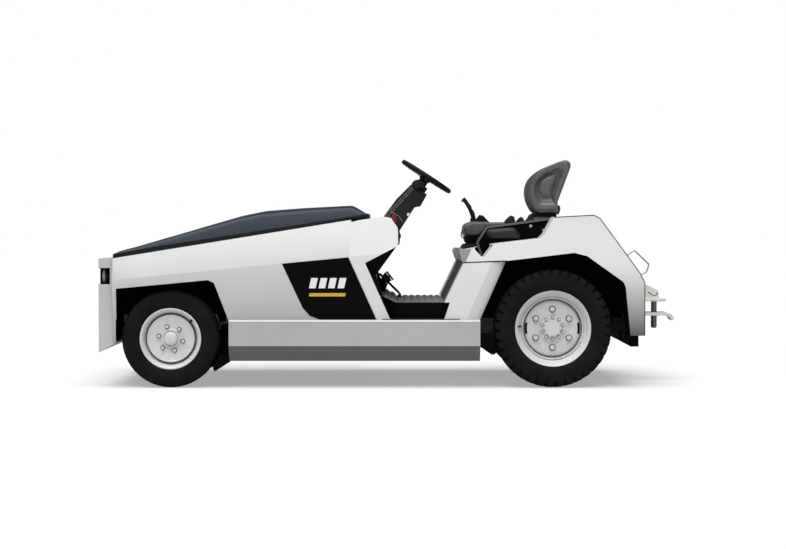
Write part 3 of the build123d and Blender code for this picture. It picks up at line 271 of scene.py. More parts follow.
def metal(name, base, rough, mottle=120.0, relief=0.00005):
    """Bare metal with a fine mottle in its gloss."""
    finish = Finish(name)
    grain = finish.noise(mottle, 6.0, 0.7)
    tone = finish.mixed(finish.noise(11.0, 5.0), tint(base, 0.75), tint(base, 1.15))
    finish.feed({"Base Color": tone, "Metallic": 1.0,
                 "Roughness": finish.spread(grain, 0.3, 0.8, rough * 0.7, rough * 1.4)})
    finish.bump(grain, relief)
    return finish


def lens(name, base, clear, rough=0.04):
    """Clear or tinted lamp lens with faint flutes."""
    finish = Finish(name)
    finish.feed({"Base Color": tint(base, 1.0), "Transmission Weight": clear, "Roughness": rough,
                 "IOR": 1.46})
    finish.bump(finish.noise(90.0, 2.0), 0.0002)
    return finish


FINISHES = {}


def make_finishes():
    """Fills FINISHES with each finish by its short name."""
    c = colours()
    FINISHES.update({
        # painted shade: the body paint darkens towards the ground
        "body": paint("body_paint", c.body, rough=0.34, coat=0.2, dust_share=0.10, shade_tone=0.42,
                      shade_top=0.95, shade_base=0.25),
        # painted shade: the cowl paint darkens a little towards the ground
        "cowl": paint("cowl_paint", c.body, rough=0.34, coat=0.2, dust_share=0.10, shade_tone=0.80,
                      shade_top=0.98),
        "deck_nose": moulded("deck_nose_mat", (0.30, 0.30, 0.27), rough=0.7, grain=0.0012,
                             scale=240.0),
        # painted shade and a painted reflection of a dark floor: the fender paint turns near black
        # towards the ground
        "fender": paint("fender_paint", c.body, rough=0.34, coat=0.2, dust_share=0.12,
                        shade_tone=0.02, shade_top=0.74, shade_base=0.29),
        "shell": moulded("seat_shell", (0.082, 0.084, 0.084), rough=0.38, grain=0.0002,
                         scale=800.0, gloss=0.6),
        "hood": paint("hood_paint", c.hood, rough=0.30, dust_share=0.05, gloss=0.22,
                      dust=(0.2, 0.2, 0.2)),
        "sill": sill_paint("sill_paint", c.sill),
        "nose": paint("nose_paint", c.nose, rough=0.40, dust_share=0.15),
        "black": paint("black_paint", c.black, rough=0.36, dust_share=0.01, gloss=0.04),
        "liner": rubber("liner_black", (0.0020, 0.0020, 0.0020), rough=0.9, grain=0.0004,
                        scale=90.0, gloss=0.03),
        "chassis": paint("chassis_paint", (0.003, 0.003, 0.003), rough=0.70, dust_share=0.35,
                         dust=(0.012, 0.011, 0.010), peel=0.0003, gloss=0.05),
        "tyre": rubber("tyre_rubber", c.tyre, rough=0.80, grain=0.00018, scale=240.0, dusty=0.2,
                       gloss=0.10),
        "seal": rubber("seal_rubber", (0.010, 0.011, 0.011), rough=0.7, grain=0.0001),
        "rim": paint("rim_paint", c.rim, rough=0.36, coat=0.1, dust_share=0.30,
                     dust=(0.22, 0.20, 0.17)),
        "vinyl": vinyl("seat_vinyl", c.seat),
        "plastic": moulded("moulded_black", (0.010, 0.010, 0.010), rough=0.45),
        "column": moulded("column_cover", (0.010, 0.0105, 0.008), grain=0.0002, scale=900.0,
                          gloss=0.15),
        "grip": rubber("grip_rubber", (0.008, 0.008, 0.008), rough=0.55, grain=0.0001,
                       scale=500.0),
        "riser": moulded("riser_mat", (0.045, 0.044, 0.040), rough=0.75, grain=0.0016,
                         scale=260.0),
        "floor": paint("floor_paint", c.floor, rough=0.6, dust_share=0.3,
                       dust=(0.08, 0.075, 0.07), peel=0.0002),
        "zinc": metal("zinc_plate", (0.62, 0.61, 0.58), rough=0.30, mottle=60.0),
        "loop": metal("loop_steel", (0.40, 0.40, 0.38), rough=0.42, mottle=60.0),
        "dark_steel": metal("dark_steel", (0.16, 0.16, 0.155), rough=0.36),
        "hitch": paint("hitch_paint", c.hitch, rough=0.42, dust_share=0.2,
                       dust=(0.2, 0.18, 0.15), peel=0.0003),
        "chrome": metal("bright_trim", (0.80, 0.80, 0.82), rough=0.10, mottle=30.0,
                        relief=0.00001),
        "reflector": metal("reflector", (0.85, 0.85, 0.86), rough=0.12, mottle=30.0),
        "lens": lens("lamp_lens", (0.95, 0.97, 0.98), clear=0.9),
        "red_lens": lens("red_lens", (0.45, 0.01, 0.01), clear=0.25, rough=0.12),
        "red": moulded("red_button", (0.22, 0.010, 0.020), rough=0.35, grain=0.0001),
        "case": moulded("battery_case", (0.030, 0.034, 0.042), grain=0.0003, scale=300.0),
        "motor": metal("motor_case", (0.10, 0.10, 0.105), rough=0.55, mottle=80.0, relief=0.0004),
        "pale": paint("stripe_pale", c.stripe_pale, rough=0.35, dust_share=0.0, peel=0.00002),
        "warm": paint("stripe_warm", c.stripe_warm, rough=0.35, dust_share=0.0, peel=0.00002),
    })


# Mesh code

def edited(mesh, edit):
    """Hands a mesh to an edit function as a bmesh, and takes back what it made of it."""
    work = bmesh.new()
    work.from_mesh(mesh)
    edit(work)
    work.to_mesh(mesh)
    work.free()


def dressed(name, mesh, finish, body, sharp):
    """A mesh made a piece: smooth shading broken at edges sharper than an angle in degrees, its
    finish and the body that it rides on."""
    piece = bpy.data.objects.new(name, mesh)
    bpy.context.scene.collection.objects.link(piece)
    mesh.polygons.foreach_set("use_smooth", [True] * len(mesh.polygons))
    mesh.set_sharp_from_angle(angle=radians(sharp))
    mesh.materials.clear()
    mesh.materials.append(FINISHES[finish].material)
    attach(piece, body)
    return piece


def put(name, co, faces, finish, body, sharp=35.0, merge=True):
    """A new piece of points and faces, its normals turned outward. Points that meet are made
    one, unless the piece keeps them apart."""
    def closed(work):
        """Merges points that meet, and turns the faces outward."""
        if merge:
            bmesh.ops.remove_doubles(work, verts=work.verts, dist=1e-6)
        bmesh.ops.recalc_face_normals(work, faces=work.faces)

    mesh = bpy.data.meshes.new(name)
    mesh.from_pydata(np.reshape(co, (-1, 3)).tolist(), [], [list(map(int, f)) for f in faces])
    edited(mesh, closed)
    return dressed(name, mesh, finish, body, sharp)


def bevelled(piece, width, angle=30.0):
    """A live bevel on the edges sharper than an angle in degrees."""
    bevel = piece.modifiers.new("edge", "BEVEL")
    bevel.width = width
    bevel.segments = 2
    bevel.limit_method = "ANGLE"
    bevel.angle_limit = radians(angle)
    bevel.harden_normals = True
    return piece


def refined(node, finish, slot_name):
    """A CAD sheet's own mesh, merged and cleaned, with its edges broken by a bevel."""
    def cleaned(work):
        """Merges the points of loose triangles, and the triangles that lie flat together."""
        bmesh.ops.remove_doubles(work, verts=work.verts, dist=2e-6)
        bmesh.ops.dissolve_limit(work, angle_limit=radians(0.4), verts=work.verts,
                                 edges=work.edges)

    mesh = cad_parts[node].data.copy()
    mesh.name = node + "_panel"
    edited(mesh, cleaned)
    piece = dressed(node + "_panel", mesh, finish, "root", 32.0)
    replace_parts(piece, node)
    return bevelled(piece, sizes().panel_edge, 28.0)


def circle(count, start=0.0):
    """Points evenly round a unit circle, from a start angle."""
    angle = start + np.linspace(0, 2 * pi, count, endpoint=False)
    return np.stack([np.cos(angle), np.sin(angle)], axis=-1)


def lay(points, level, view="xz"):
    """Flat points of a view put into space, at a level along the axis that the view looks."""
    first, second = np.moveaxis(np.asarray(points, float), -1, 0)
    level = np.broadcast_to(level, first.shape)
    return np.stack({"xz": (first, level, second), "xy": (first, second, level),
                     "yz": (level, first, second)}[view], axis=-1)


def lathe(profile, steps, axis="y"):
    """A closed outline of (radius, along) turned about an axis. The grid's first parameter is
    the angle, and its second runs round the outline."""
    radius, along = np.asarray(profile, float).T
    view = {"x": "yz", "y": "xz", "z": "xy"}[axis]
    return lay(circle(steps)[:, None] * radius[:, None], along, view)


def rounded(points, radius, steps=4, closed=True):
    """Corners replaced by quadratic arcs that leave each side a radius before the corner."""
    points = np.asarray(points, float)
    count = len(points)
    radius = np.broadcast_to(radius, (count,))
    out = []
    for i in range(count):
        if not closed and i in (0, count - 1):
            out.append(points[i][None])
            continue
        corner, before, after = points[i], points[i - 1], points[(i + 1) % count]
        arms = []
        for other in (before, after):
            reach = np.linalg.norm(other - corner)
            arms.append(corner + (other - corner) * min(radius[i], 0.48 * reach) / reach)
        t = np.linspace(0, 1, steps + 1)[:, None]
        out.append((1 - t) ** 2 * arms[0] + 2 * t * (1 - t) * corner + t * t * arms[1])
    return np.concatenate(out)


def grid_faces(rows, columns, loop_rows=False, loop_columns=False):
    """Quads between the points of a grid, numbered row by row."""
    r = np.arange(rows if loop_rows else rows - 1)
    c = np.arange(columns if loop_columns else columns - 1)
    i, j = np.meshgrid(r, c, indexing="ij")
    i2, j2 = (i + 1) % rows, (j + 1) % columns
    return np.stack([i * columns + j, i2 * columns + j, i2 * columns + j2, i * columns + j2],
                    axis=-1).reshape(-1, 4)


class Shape:
    """Points and faces of several closed forms that are put down as one mesh."""

    def __init__(self):
        self.points, self.faces, self.count = [], [], 0

    def add(self, co, faces):
        """Takes in one more form, its faces numbered after those that are there."""
        co = np.asarray(co, float).reshape(-1, 3)
        self.points.append(co)
        self.faces += [[int(v) + self.count for v in f] for f in faces]
        self.count += len(co)
        return self

    def put(self, name, finish, body, slot_name, sharp=35.0, merge=True):
        """Puts all the forms down as one piece."""
        return put(name, np.concatenate(self.points), self.faces, finish, body,
                   sharp, merge)

    def loft(self, rings):
        """Closed rings of equal length in order, skinned, with a face at each end."""
        rings = np.asarray(rings, float)
        n, m = rings.shape[:2]
        faces = grid_faces(n, m, loop_columns=True).tolist()
        faces += [list(range(m))[::-1], list(range((n - 1) * m, n * m))]
        return self.add(rings, faces)

    def turned(self, profile, centre, steps=96, axis="y", flip=1.0):
        """A closed outline of (radius, along) turned about an axis through a centre."""
        co = lathe(np.asarray(profile, float) * (1.0, flip), steps, axis)
        return self.add(co + np.asarray(centre, float), grid_faces(steps, len(profile), True, True))

    def prism(self, outline, start, end, view="xz"):
        """An outline of a view carried straight from one level to another."""
        return self.loft([lay(outline, start, view), lay(outline, end, view)])

    def tube(self, path, radius, sides=12):
        """A round tube along a path; its frame turns as little as it can from point to point."""
        path = np.asarray(path, float)
        ahead = np.roll(path, -1, 0) - np.roll(path, 1, 0)
        ahead[0], ahead[-1] = path[1] - path[0], path[-1] - path[-2]
        ahead /= np.linalg.norm(ahead, axis=1)[:, None]
        side = np.cross(ahead[0], (0.0, 0.0, 1.0))
        if np.linalg.norm(side) < 1e-3:
            side = np.cross(ahead[0], (1.0, 0.0, 0.0))
        frames = []
        for direction in ahead:
            side = side - direction * np.dot(side, direction)
            side /= np.linalg.norm(side)
            frames.append((side, np.cross(direction, side)))
        wide = np.broadcast_to(radius, (len(path),))[:, None, None]
        return self.loft(path[:, None] + circle(sides) @ np.asarray(frames) * wide)

    def bolts(self, places, outward, radius, height, sides=6, washer=0.0):
        """Hexagon heads with a chamfered top at each place, all facing one way."""
        outward = np.asarray(outward, float) / np.linalg.norm(outward)
        first = np.cross(outward, (0.31, 0.17, 0.93))
        first /= np.linalg.norm(first)
        head = circle(sides) @ np.array((first, np.cross(outward, first)))
        rings = [(radius, -0.2 * height), (radius, 0.8 * height), (radius * 0.86, height)]
        if washer:
            rings = [(washer, -0.2 * height), (washer, 0.14 * height),
                     (radius, 0.16 * height)] + rings[1:]
        for place in np.asarray(places, float).reshape(-1, 3):
            self.loft([place + head * r + outward * h for r, h in rings])
        return self


def band(path, width):
    """Closed outline of a strip of equal width along a path, mitred at its bends."""
    path = np.asarray(path, float)
    step = np.diff(path, axis=0)
    step /= np.linalg.norm(step, axis=1)[:, None]
    side = np.stack([-step[:, 1], step[:, 0]], axis=-1)
    both = np.concatenate([side[:1], side[:-1] + side[1:], side[-1:]])
    both /= np.linalg.norm(both, axis=1)[:, None]
    reach = np.concatenate([[1.0], np.sum(both[1:-1] * side[1:], axis=1), [1.0]])
    off = both / reach[:, None] * width / 2
    return np.concatenate([path + off, (path - off)[::-1]])


def smooth_path(points, radius, steps=6):
    """Straight runs joined by arcs, for bent bars."""
    return rounded(points, radius, steps, closed=False)


def side_z(x, front, rear):
    """Height of a straight side line at x, from its heights at the nose and at the cowl."""
    return front + (BODY_FRONT_X - x) / (BODY_FRONT_X - COWL_X) * (rear - front)


def body_top(x):
    """Height of the body's top edge at x."""
    return side_z(x, 0.781, 1.013)


# Pieces

class TUG_OT_panels(bpy.types.Operator):
    """Sheet panels: each CAD sheet with broken edges and its paint"""
    bl_idname = "tug.panels"
    bl_label = "Body panels"

    TABLE = (
        # node, finish, slot
        ("front_bumper", "nose", "bumper_grey"),
        ("body_side_left", "body", "body_white"), ("body_side_right", "body", "body_white"),
        ("cowl", "cowl", "body_white"),
        ("fender_left", "fender", "body_white"), ("fender_right", "fender", "body_white"),
        ("seat_deck", "cowl", "body_white"), ("rear_cover", "fender", "body_white"),
        ("sill_left", "sill", "sill_grey"), ("sill_right", "sill", "sill_grey"),
        ("access_panel_left", "black", "black_paint"),
        ("access_panel_right", "black", "black_paint"),
        ("step_riser_left", "black", "black_paint"), ("step_riser_right", "black", "black_paint"),
        ("footwell", "black", "black_paint"), ("seat_box", "riser", "black_paint"),
        ("hitch_bracket", "hitch", "hitch_paint"), ("dash_panel", "plastic", "plastic_black"),
        ("steering_column", "column", "plastic_black"),
    )

    def execute(self, context):
        for row in self.TABLE:
            refined(*row)
        return {"FINISHED"}


class TUG_OT_plain(bpy.types.Operator):
    """Running gear and hidden pieces: the CAD solids with their finishes"""
    bl_idname = "tug.plain"
    bl_label = "Running gear"

    TABLE = (
        # node, finish
        ("front_liner_left", "liner"), ("front_liner_right", "liner"),
        ("rear_liner_left", "liner"), ("rear_liner_right", "liner"),
        ("chassis_frame", "chassis"), ("front_axle", "chassis"), ("front_springs", "dark_steel"),
        ("rear_springs", "dark_steel"), ("leg_guards", "black"),
        ("knuckle_left", "chassis"), ("knuckle_right", "chassis"),
        ("tie_rod", "dark_steel"), ("rear_axle", "motor"), ("drive_motor", "motor"),
        ("battery_block", "case"), ("hood_seal", "seal"), ("rear_loops", "loop"),
        ("tail_lamps", "red_lens"), ("headlamps", "lens"), ("stop_button", "red"),
        ("pedals", "grip"), ("brake_lever", "plastic"), ("seat_base", "plastic"),
        ("floor_plate", "floor"), ("hitch_pin", "dark_steel"),
    )

    def execute(self, context):
        for node, finish in self.TABLE:
            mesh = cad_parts[node].data
            mesh.materials.clear()
            mesh.materials.append(FINISHES[finish].material)
        return {"FINISHED"}


class TUG_OT_hood(bpy.types.Operator):
    """Hood: each cross-section is the CAD's polygon with its shoulders drawn as arcs, and the
    crown line runs smoothly from nose to cowl"""
    bl_idname = "tug.hood"
    bl_label = "Hood"

    # Crown line in the side view, from the nose to behind the cowl
    CROWN = ((1.693, 0.806), (1.680, 0.818), (1.650, 0.830), (1.551, 0.858), (1.185, 0.971),
             (0.941, 1.043), (0.800, 1.072), (0.560, 1.090), (0.262, 1.105), (0.248, 1.099),
             (0.163, 1.048))
    # Stations along the hood: first, last, number
    RUNS = ((1.694, 1.640, 12), (1.620, 0.300, 56), (0.285, 0.161, 12))
    SIDE_Y, CROWN_Y = 0.719, 0.300
    FOOT_GAP, LIP, LEAST_RISE = 0.0145, 0.006, 0.005
    SHOULDER_IN, SHOULDER_UP = 0.28, 0.86               # shares of the rise from foot to crown
    WALL, END_HALF = 0.004, 0.002
    FRONT_END_X, REAR_END_X = 1.692, 0.163
    SAMPLES, AVERAGED = 400, 15                         # of the crown line
    HINGE_X, HINGE_Y, HINGE_Z, HINGE_HALF = 1.709, 0.430, 0.795, 0.014
    LEAF = ((1.694, 0.797), (1.706, 0.7975), (1.706, 0.804), (1.694, 0.804))

    def crown(self, xs):
        """Height of the crown line, averaged along a short stretch so that its bends are soft."""
        x, z = np.array(self.CROWN)[::-1].T
        fine = np.linspace(0.161, 1.698, self.SAMPLES)
        kernel = np.hanning(self.AVERAGED)
        kernel /= kernel.sum()
        line = np.pad(np.interp(fine, x, z), self.AVERAGED // 2, mode="reflect",
                      reflect_type="odd")
        return np.interp(xs, fine, np.convolve(line, kernel, "valid"))

    def section(self, x, crown):
        """Foot, lip, shoulder and crown of one side and its image, with arcs at the corners."""
        foot = body_top(x) + self.FOOT_GAP
        rise = max(crown - foot, self.LEAST_RISE)
        half = [(-self.SIDE_Y, foot), (-self.SIDE_Y, foot + self.LIP),
                (self.SHOULDER_IN * rise - self.SIDE_Y, foot + self.SHOULDER_UP * rise),
                (-self.CROWN_Y, foot + rise)]
        reach = [0, 0.004, 0.030, 0.2]
        return rounded(half + [(-y, z) for y, z in half[::-1]], reach + reach[::-1], 9,
                       closed=False)

    def execute(self, context):
        xs = np.concatenate([np.linspace(*run) for run in self.RUNS])
        rings = np.array([lay(self.section(x, crown), x, "yz")
                          for x, crown in zip(xs, self.crown(xs))])
        skin = put("hood_skin", rings, grid_faces(*rings.shape[:2]), "hood", "hood",
                   40.0, merge=False)

        def face_up(work):
            """Turns every face over where the sheet looks down."""
            if sum(f.normal.z * f.calc_area() for f in work.faces) < 0:
                bmesh.ops.reverse_faces(work, faces=work.faces)

        edited(skin.data, face_up)
        wall = skin.modifiers.new("wall", "SOLIDIFY")
        wall.thickness = self.WALL
        wall.offset = -1.0
        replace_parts(skin, "hood")
        ends = Shape()
        for x, ring in ((self.FRONT_END_X, rings[1]), (self.REAR_END_X, rings[-2])):
            foot, inner = body_top(x) + self.FOOT_GAP, self.SIDE_Y - self.WALL
            outline = np.concatenate([ring[:, 1:], [(inner, foot), (-inner, foot)]])
            ends.prism(outline, x - self.END_HALF, x + self.END_HALF, "yz")
        ends.put("hood_ends", "hood", "hood", "hood_grey")
        leaves = Shape()
        barrel = rounded([(0.0052, -self.HINGE_HALF), (0.009, -self.HINGE_HALF),
                          (0.009, self.HINGE_HALF), (0.0052, self.HINGE_HALF)], 0.001, 2)
        for y in (self.HINGE_Y, -self.HINGE_Y):
            leaves.turned(barrel, (self.HINGE_X, y, self.HINGE_Z), 32)
            leaves.prism(self.LEAF, y - self.HINGE_HALF, y + self.HINGE_HALF)
        leaves.put("hood_hinge_leaves", "hood", "hood", "hood_grey")
        return {"FINISHED"}


def symmetric(half):
    """An outline of (radius, along) points, and its image across the wheel's middle plane."""
    return list(half) + [(r, -a) for r, a in half[::-1]]


def pulse(phase, width, soft):
    """1 inside a band of a repeating phase, falling to 0 over a soft edge."""
    distance = np.abs((phase + 0.5) % 1.0 - 0.5)
    return np.clip((width / 2 + soft - distance) / soft, 0.0, 1.0)


def ramp(value, start, reach):
    """0 up to a start value, rising to 1 over a reach."""
    return np.clip((value - start) / reach, 0.0, 1.0)


def bells(value, middles, width, power=2):
    """Sum of narrow bells, each 1 at its middle; a higher even power flattens their tops."""
    return sum(np.exp(-((value - middle) / width) ** power) for middle in middles)


class TUG_OT_wheels(bpy.types.Operator):
    """Wheels: tyres and rims are closed outlines turned about the axle, with tread cut as a
    function of angle and width, and ridges where the sidewall has them"""
    bl_idname = "tug.wheels"
    bl_label = "Wheels"

    PLACES = {"front": (FRONT_AXLE_X, FRONT_Y, FRONT_R), "rear": (REAR_AXLE_X, REAR_Y, REAR_R)}

    # Outlines are (radius, out from the wheel's middle plane)
    FRONT_TYRE = symmetric((
        (0.1683, -0.059), (0.1865, -0.065), (0.197, -0.074), (0.230, -0.080), (0.266, -0.0775),
        (0.284, -0.070), (0.2935, -0.056), (0.296, -0.028)))
    REAR_TYRE = symmetric((
        (0.2123, -0.071), (0.2305, -0.077), (0.243, -0.092), (0.281, -0.098), (0.320, -0.096),
        (0.343, -0.090), (0.352, -0.076), (0.357, -0.034)))
    FRONT_BARREL = symmetric((
        (0.1830, 0.0715), (0.1860, 0.0690), (0.1850, 0.0660), (0.1680, 0.0600), (0.1660, 0.036),
        (0.1540, 0.022))) + [
        (0.1780, -0.0700), (0.1635, -0.0630), (0.1610, -0.039), (0.1480, -0.025),
        (0.1480, -0.012), (0.1545, 0.010), (0.1580, 0.0400), (0.1650, 0.0580), (0.1760, 0.0700)]
    FRONT_DISC = (
        (0.1490, -0.022), (0.1480, -0.012), (0.1445, -0.008), (0.1440, 0.044), (0.1420, 0.0490),
        (0.1370, 0.0490), (0.1320, 0.0455), (0.1150, 0.0430), (0.0780, 0.0375), (0.0610, 0.0365),
        (0.0590, 0.0385), (0.0575, 0.0480), (0.0480, 0.0485), (0.0455, 0.0420), (0.0425, 0.0425),
        (0.0405, 0.0600), (0.0340, 0.0670), (0.0180, 0.0705), (0.0002, 0.0712), (0.0002, 0.0560),
        (0.0300, 0.0300), (0.1250, 0.0300), (0.1370, 0.0200), (0.1380, -0.022))
    FRONT_HUB = ((0.0242, -0.013), (0.046, -0.013), (0.046, 0.034), (0.0242, 0.034))
    REAR_BARREL = symmetric((
        (0.2265, 0.0835), (0.2300, 0.0810), (0.2290, 0.0780), (0.2120, 0.0720), (0.2100, 0.042),
        (0.1900, 0.026))) + [
        (0.2210, -0.0820), (0.2075, -0.0750), (0.2040, -0.045), (0.1840, -0.029),
        (0.1840, 0.012), (0.1885, 0.0340), (0.2110, 0.0560), (0.2190, 0.0700), (0.2235, 0.0800)]
    REAR_LIP = (
        (0.1805, 0.010), (0.1890, 0.010), (0.1895, 0.0390), (0.1870, 0.0440), (0.1825, 0.0435),
        (0.1800, 0.0370))
    REAR_HUB = (
        (0.0002, 0.004), (0.0840, 0.004), (0.0855, 0.0240), (0.0830, 0.0270), (0.0790, 0.0250),
        (0.0540, 0.0255), (0.0520, 0.0330), (0.0495, 0.0350), (0.0300, 0.0370), (0.0040, 0.0375),
        (0.0002, 0.0350))
    # Rear disc from the hub outward: radius, outer face, thickness
    REAR_DISC = (
        (0.0345, 0.0190, 0.014), (0.0600, 0.0190, 0.014), (0.0850, 0.0190, 0.014),
        (0.1180, 0.0185, 0.012), (0.1530, 0.0175, 0.012), (0.1665, 0.0120, 0.014),
        (0.1690, -0.0180, 0.008), (0.1845, -0.0240, 0.008))
    # Nuts and bolts: number, circle's radius, seat, start in degrees, head's radius and height,
    # washer's radius, height and sides
    FRONT_NUTS = (6, 0.0750, 0.0380, 12, 0.0105, 0.017, 0.0150, 0.0016, 20)
    REAR_BOLTS = (10, 0.0655, 0.0255, 18, 0.0080, 0.012, 0.0108, 0.0012, 18)
    REAR_NUTS = (6, 0.1160, 0.0176, 30, 0.0165, 0.023, 0.0215, 0.0016, 24)
    # Scalloped caps on the rear hub: radius, back, front
    REAR_CAPS = ((0.052, 0.034, 0.043), (0.045, 0.041, 0.050))
    CAP_LOBES, LOBE_SHARE = 10, 0.070
    HOLE_RING = 4                                       # the ring that the hand-holes open
    HOLE_REACH = 0.978                                  # cosine of a hand-hole's half angle

    def place(self, end, side):
        """A wheel's side in words, its body and its centre."""
        name = "left" if side > 0 else "right"
        return name, f"wheel_{end}_{name}", np.array(self.PLACES[end]) * (1, side, 1)

    def tyre(self, end, side, profile, steps, groove, sharp):
        """Outline turned about the axle, each point moved inward along the radius and along the
        axle by what groove(turn, along, radius) gives."""
        name, body, centre = self.place(end, side)
        angle = np.linspace(0, 2 * pi, steps, endpoint=False)[:, None]
        radius, along = profile[:, 0] + 0 * angle, profile[:, 1] + 0 * angle
        cut_radius, cut_along = groove(angle / (2 * pi), along, radius)
        left = radius - cut_radius
        co = centre + np.stack([left * np.cos(angle), side * (along - cut_along),
                                left * np.sin(angle)], axis=-1)
        tread = put(f"{end}_tread_{name}", co, grid_faces(steps, len(profile), True, True), "tyre",
                    body, sharp)
        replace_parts(tread, f"{end}_tyre_{name}")

    def front_tyre(self, side):
        """Four grooves round the crown, sipes across the shoulders, two ridges on a sidewall."""
        sipes, depth = sizes().sipe_count, sizes().sipe_depth
        groove_places, groove_wide, groove_deep = (-0.034, -0.0115, 0.0115, 0.034), 0.0032, 0.007
        ridge_radii, ridge_wide, ridge_high, wall_from = (0.204, 0.252), 0.0016, 0.0012, 0.060
        crown_radius, shoulder_radius, shoulder_from = 0.286, 0.262, 0.040
        quarter, side_share = 0.25, 0.7

        def groove(turn, along, radius):
            """Crown grooves by the distance along the axle, sipes by the angle."""
            aside = np.abs(along)
            shoulder = ramp(radius, shoulder_radius, 0.010) * (aside > shoulder_from)
            cuts = pulse(turn * sipes + np.sign(along) * quarter, 0.22, 0.10) * shoulder * depth
            rings = bells(along, groove_places, groove_wide) * groove_deep
            ridges = bells(radius, ridge_radii, ridge_wide) * (aside > wall_from) * ridge_high
            return ((rings + cuts) * ramp(radius, crown_radius, 0.006),
                    np.sign(along) * (cuts * side_share - ridges))

        self.tyre("front", side, rounded(self.FRONT_TYRE, 0.012, 5), 480, groove, 50.0)

    def rear_tyre(self, side):
        """Lugs slanted across the shoulders, half a pitch apart on the two sides, zigzag grooves
        and cross cuts in the middle, two ridges on a sidewall."""
        lugs, depth = sizes().lug_count, sizes().lug_depth
        ridge_radii, ridge_wide, ridge_high, wall_from = (0.256, 0.305), 0.0022, 0.0015, 0.080
        outer_radius, outer_from, slant, edge_radius, edge_cut = 0.316, 0.036, 3.0, 0.352, 0.007
        middle_radius, middle_to, middle_share, zig_reach = 0.350, 0.030, 0.75, 0.012
        line = rounded(self.REAR_TYRE, 0.008, 3)
        # more points across the tread, where the lugs are cut
        tread = np.stack([np.full(15, REAR_R), np.linspace(-0.031, 0.031, 15)], axis=-1)
        split = int(np.argmax((line[:, 0] > REAR_R - 0.0001) & (line[:, 1] > 0)))
        profile = np.concatenate([line[:split], tread, line[split:]])

        def groove(turn, along, radius):
            """Gaps between lugs by the angle and the slant, middle cuts by both."""
            aside = np.abs(along)
            outer = ramp(radius, outer_radius, 0.010) * ramp(aside, outer_from, 0.004)
            half = np.where(along < 0, 0.5, 0.0)
            gaps = pulse(turn * lugs + half + aside * slant, 0.24, 0.05) * outer
            zig = zig_reach * np.sign(np.sin(turn * 2 * pi * lugs))
            rings = (bells(along - zig * 0.3, (0.033, -0.033), 0.004, 4)
                     + bells(along - zig * 0.5, (0.0,), 0.0035, 4))
            blocks = pulse(turn * lugs + 0.25, 0.16, 0.05) * (aside < middle_to)
            middle = ramp(radius, middle_radius, 0.003) * np.maximum(rings, blocks)
            ridges = bells(radius, ridge_radii, ridge_wide) * (aside > wall_from) * ridge_high
            return (np.maximum(gaps, middle * middle_share) * depth,
                    np.sign(along) * (gaps * (radius < edge_radius) * edge_cut - ridges))

        self.tyre("rear", side, profile, lugs * 20, groove, 40.0)

    def fixings(self, heads, washers, centre, side, row):
        """Heads and washers evenly round a circle about the axle; gives their places."""
        count, reach, out, start, radius, height, washer, thick, sides = row
        places = centre + lay(reach * circle(count, radians(start)), side * out)
        heads.bolts(places, (0, side, 0), radius, height)
        washers.bolts(places, (0, side, 0), washer, thick, sides)
        return places

    def valve(self, end, side, foot, out, reach, radii):
        """A valve's stem and cap: a tube through points at given reaches along a direction."""
        name, body, centre = self.place(end, side)
        stem = Shape().tube(centre + foot + np.outer(reach, out), radii, 12)
        stem.put(f"{end}_valve_{name}", "grip", body, "tyre_black")

    def front_rim(self, side):
        """Barrel, dished disc and hub turned about the axle, six nuts, their washers, a valve."""
        name, body, centre = self.place("front", side)
        shape = Shape()
        for outline, radius, steps, sides in ((self.FRONT_BARREL, 0.003, 3, 128),
                                              (self.FRONT_DISC, 0.0025, 3, 128),
                                              (self.FRONT_HUB, 0.002, 2, 64)):
            shape.turned(rounded(outline, radius, steps), centre, sides, flip=side)
        rim = shape.put(f"front_wheel_disc_{name}", "rim", body, "rim_paint")
        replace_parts(rim, f"front_rim_{name}")
        nuts, washers = Shape(), Shape()
        self.fixings(nuts, washers, centre, side, self.FRONT_NUTS)
        nuts.put(f"front_wheel_nuts_{name}", "rim", body, "rim_paint")
        # dark steel washers: painted shadow round the foot of each nut
        washers.put(f"front_nut_shadow_washers_{name}", "dark_steel", body, "rim_paint")
        self.valve("front", side, (-0.121 * side, 0.050 * side, 0.104),
                   (-0.35 * side, 0.9 * side, 0.3), (-0.004, 0.016, 0.017, 0.024),
                   (0.0075, 0.0070, 0.0048, 0.0048))

    def rear_disc(self, side):
        """Two layers of points on a grid of angle and radius. Cells of one ring are left out for
        the hand-holes, and a wall joins the layers along each edge between cell and opening."""
        name, body, centre = self.place("rear", side)
        radii, outer, thick = np.array(self.REAR_DISC).T
        count, rings = 144, len(radii)
        layers = [centre + lay(circle(count)[:, None] * radii[:, None], side * level)
                  for level in (outer, outer - thick)]
        middle = (np.arange(count) + 0.5) * 2 * pi / count
        opened = ((np.abs(np.cos(middle)) > self.HOLE_REACH)[:, None]
                  & (np.arange(rings - 1) == self.HOLE_RING))
        cells = grid_faces(count, rings, loop_rows=True)[~opened.ravel()]
        filled = np.pad(~opened, ((0, 0), (1, 1)))
        i, j = np.nonzero(filled[:, 1:] != filled[:, :-1])
        arcs = np.stack([i * rings + j, (i + 1) % count * rings + j], axis=-1)
        i, j = np.nonzero(opened != np.roll(opened, 1, axis=0))
        edges = np.concatenate([arcs, np.stack([i * rings + j, i * rings + j + 1], axis=-1)])
        shift = count * rings
        walls = np.concatenate([edges, edges[:, ::-1] + shift], axis=1)
        disc = put(f"rear_wheel_disc_{name}", layers,
                   np.concatenate([cells, cells[:, ::-1] + shift, walls]), "rim", body,
                   30.0)
        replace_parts(disc, f"rear_rim_{name}")

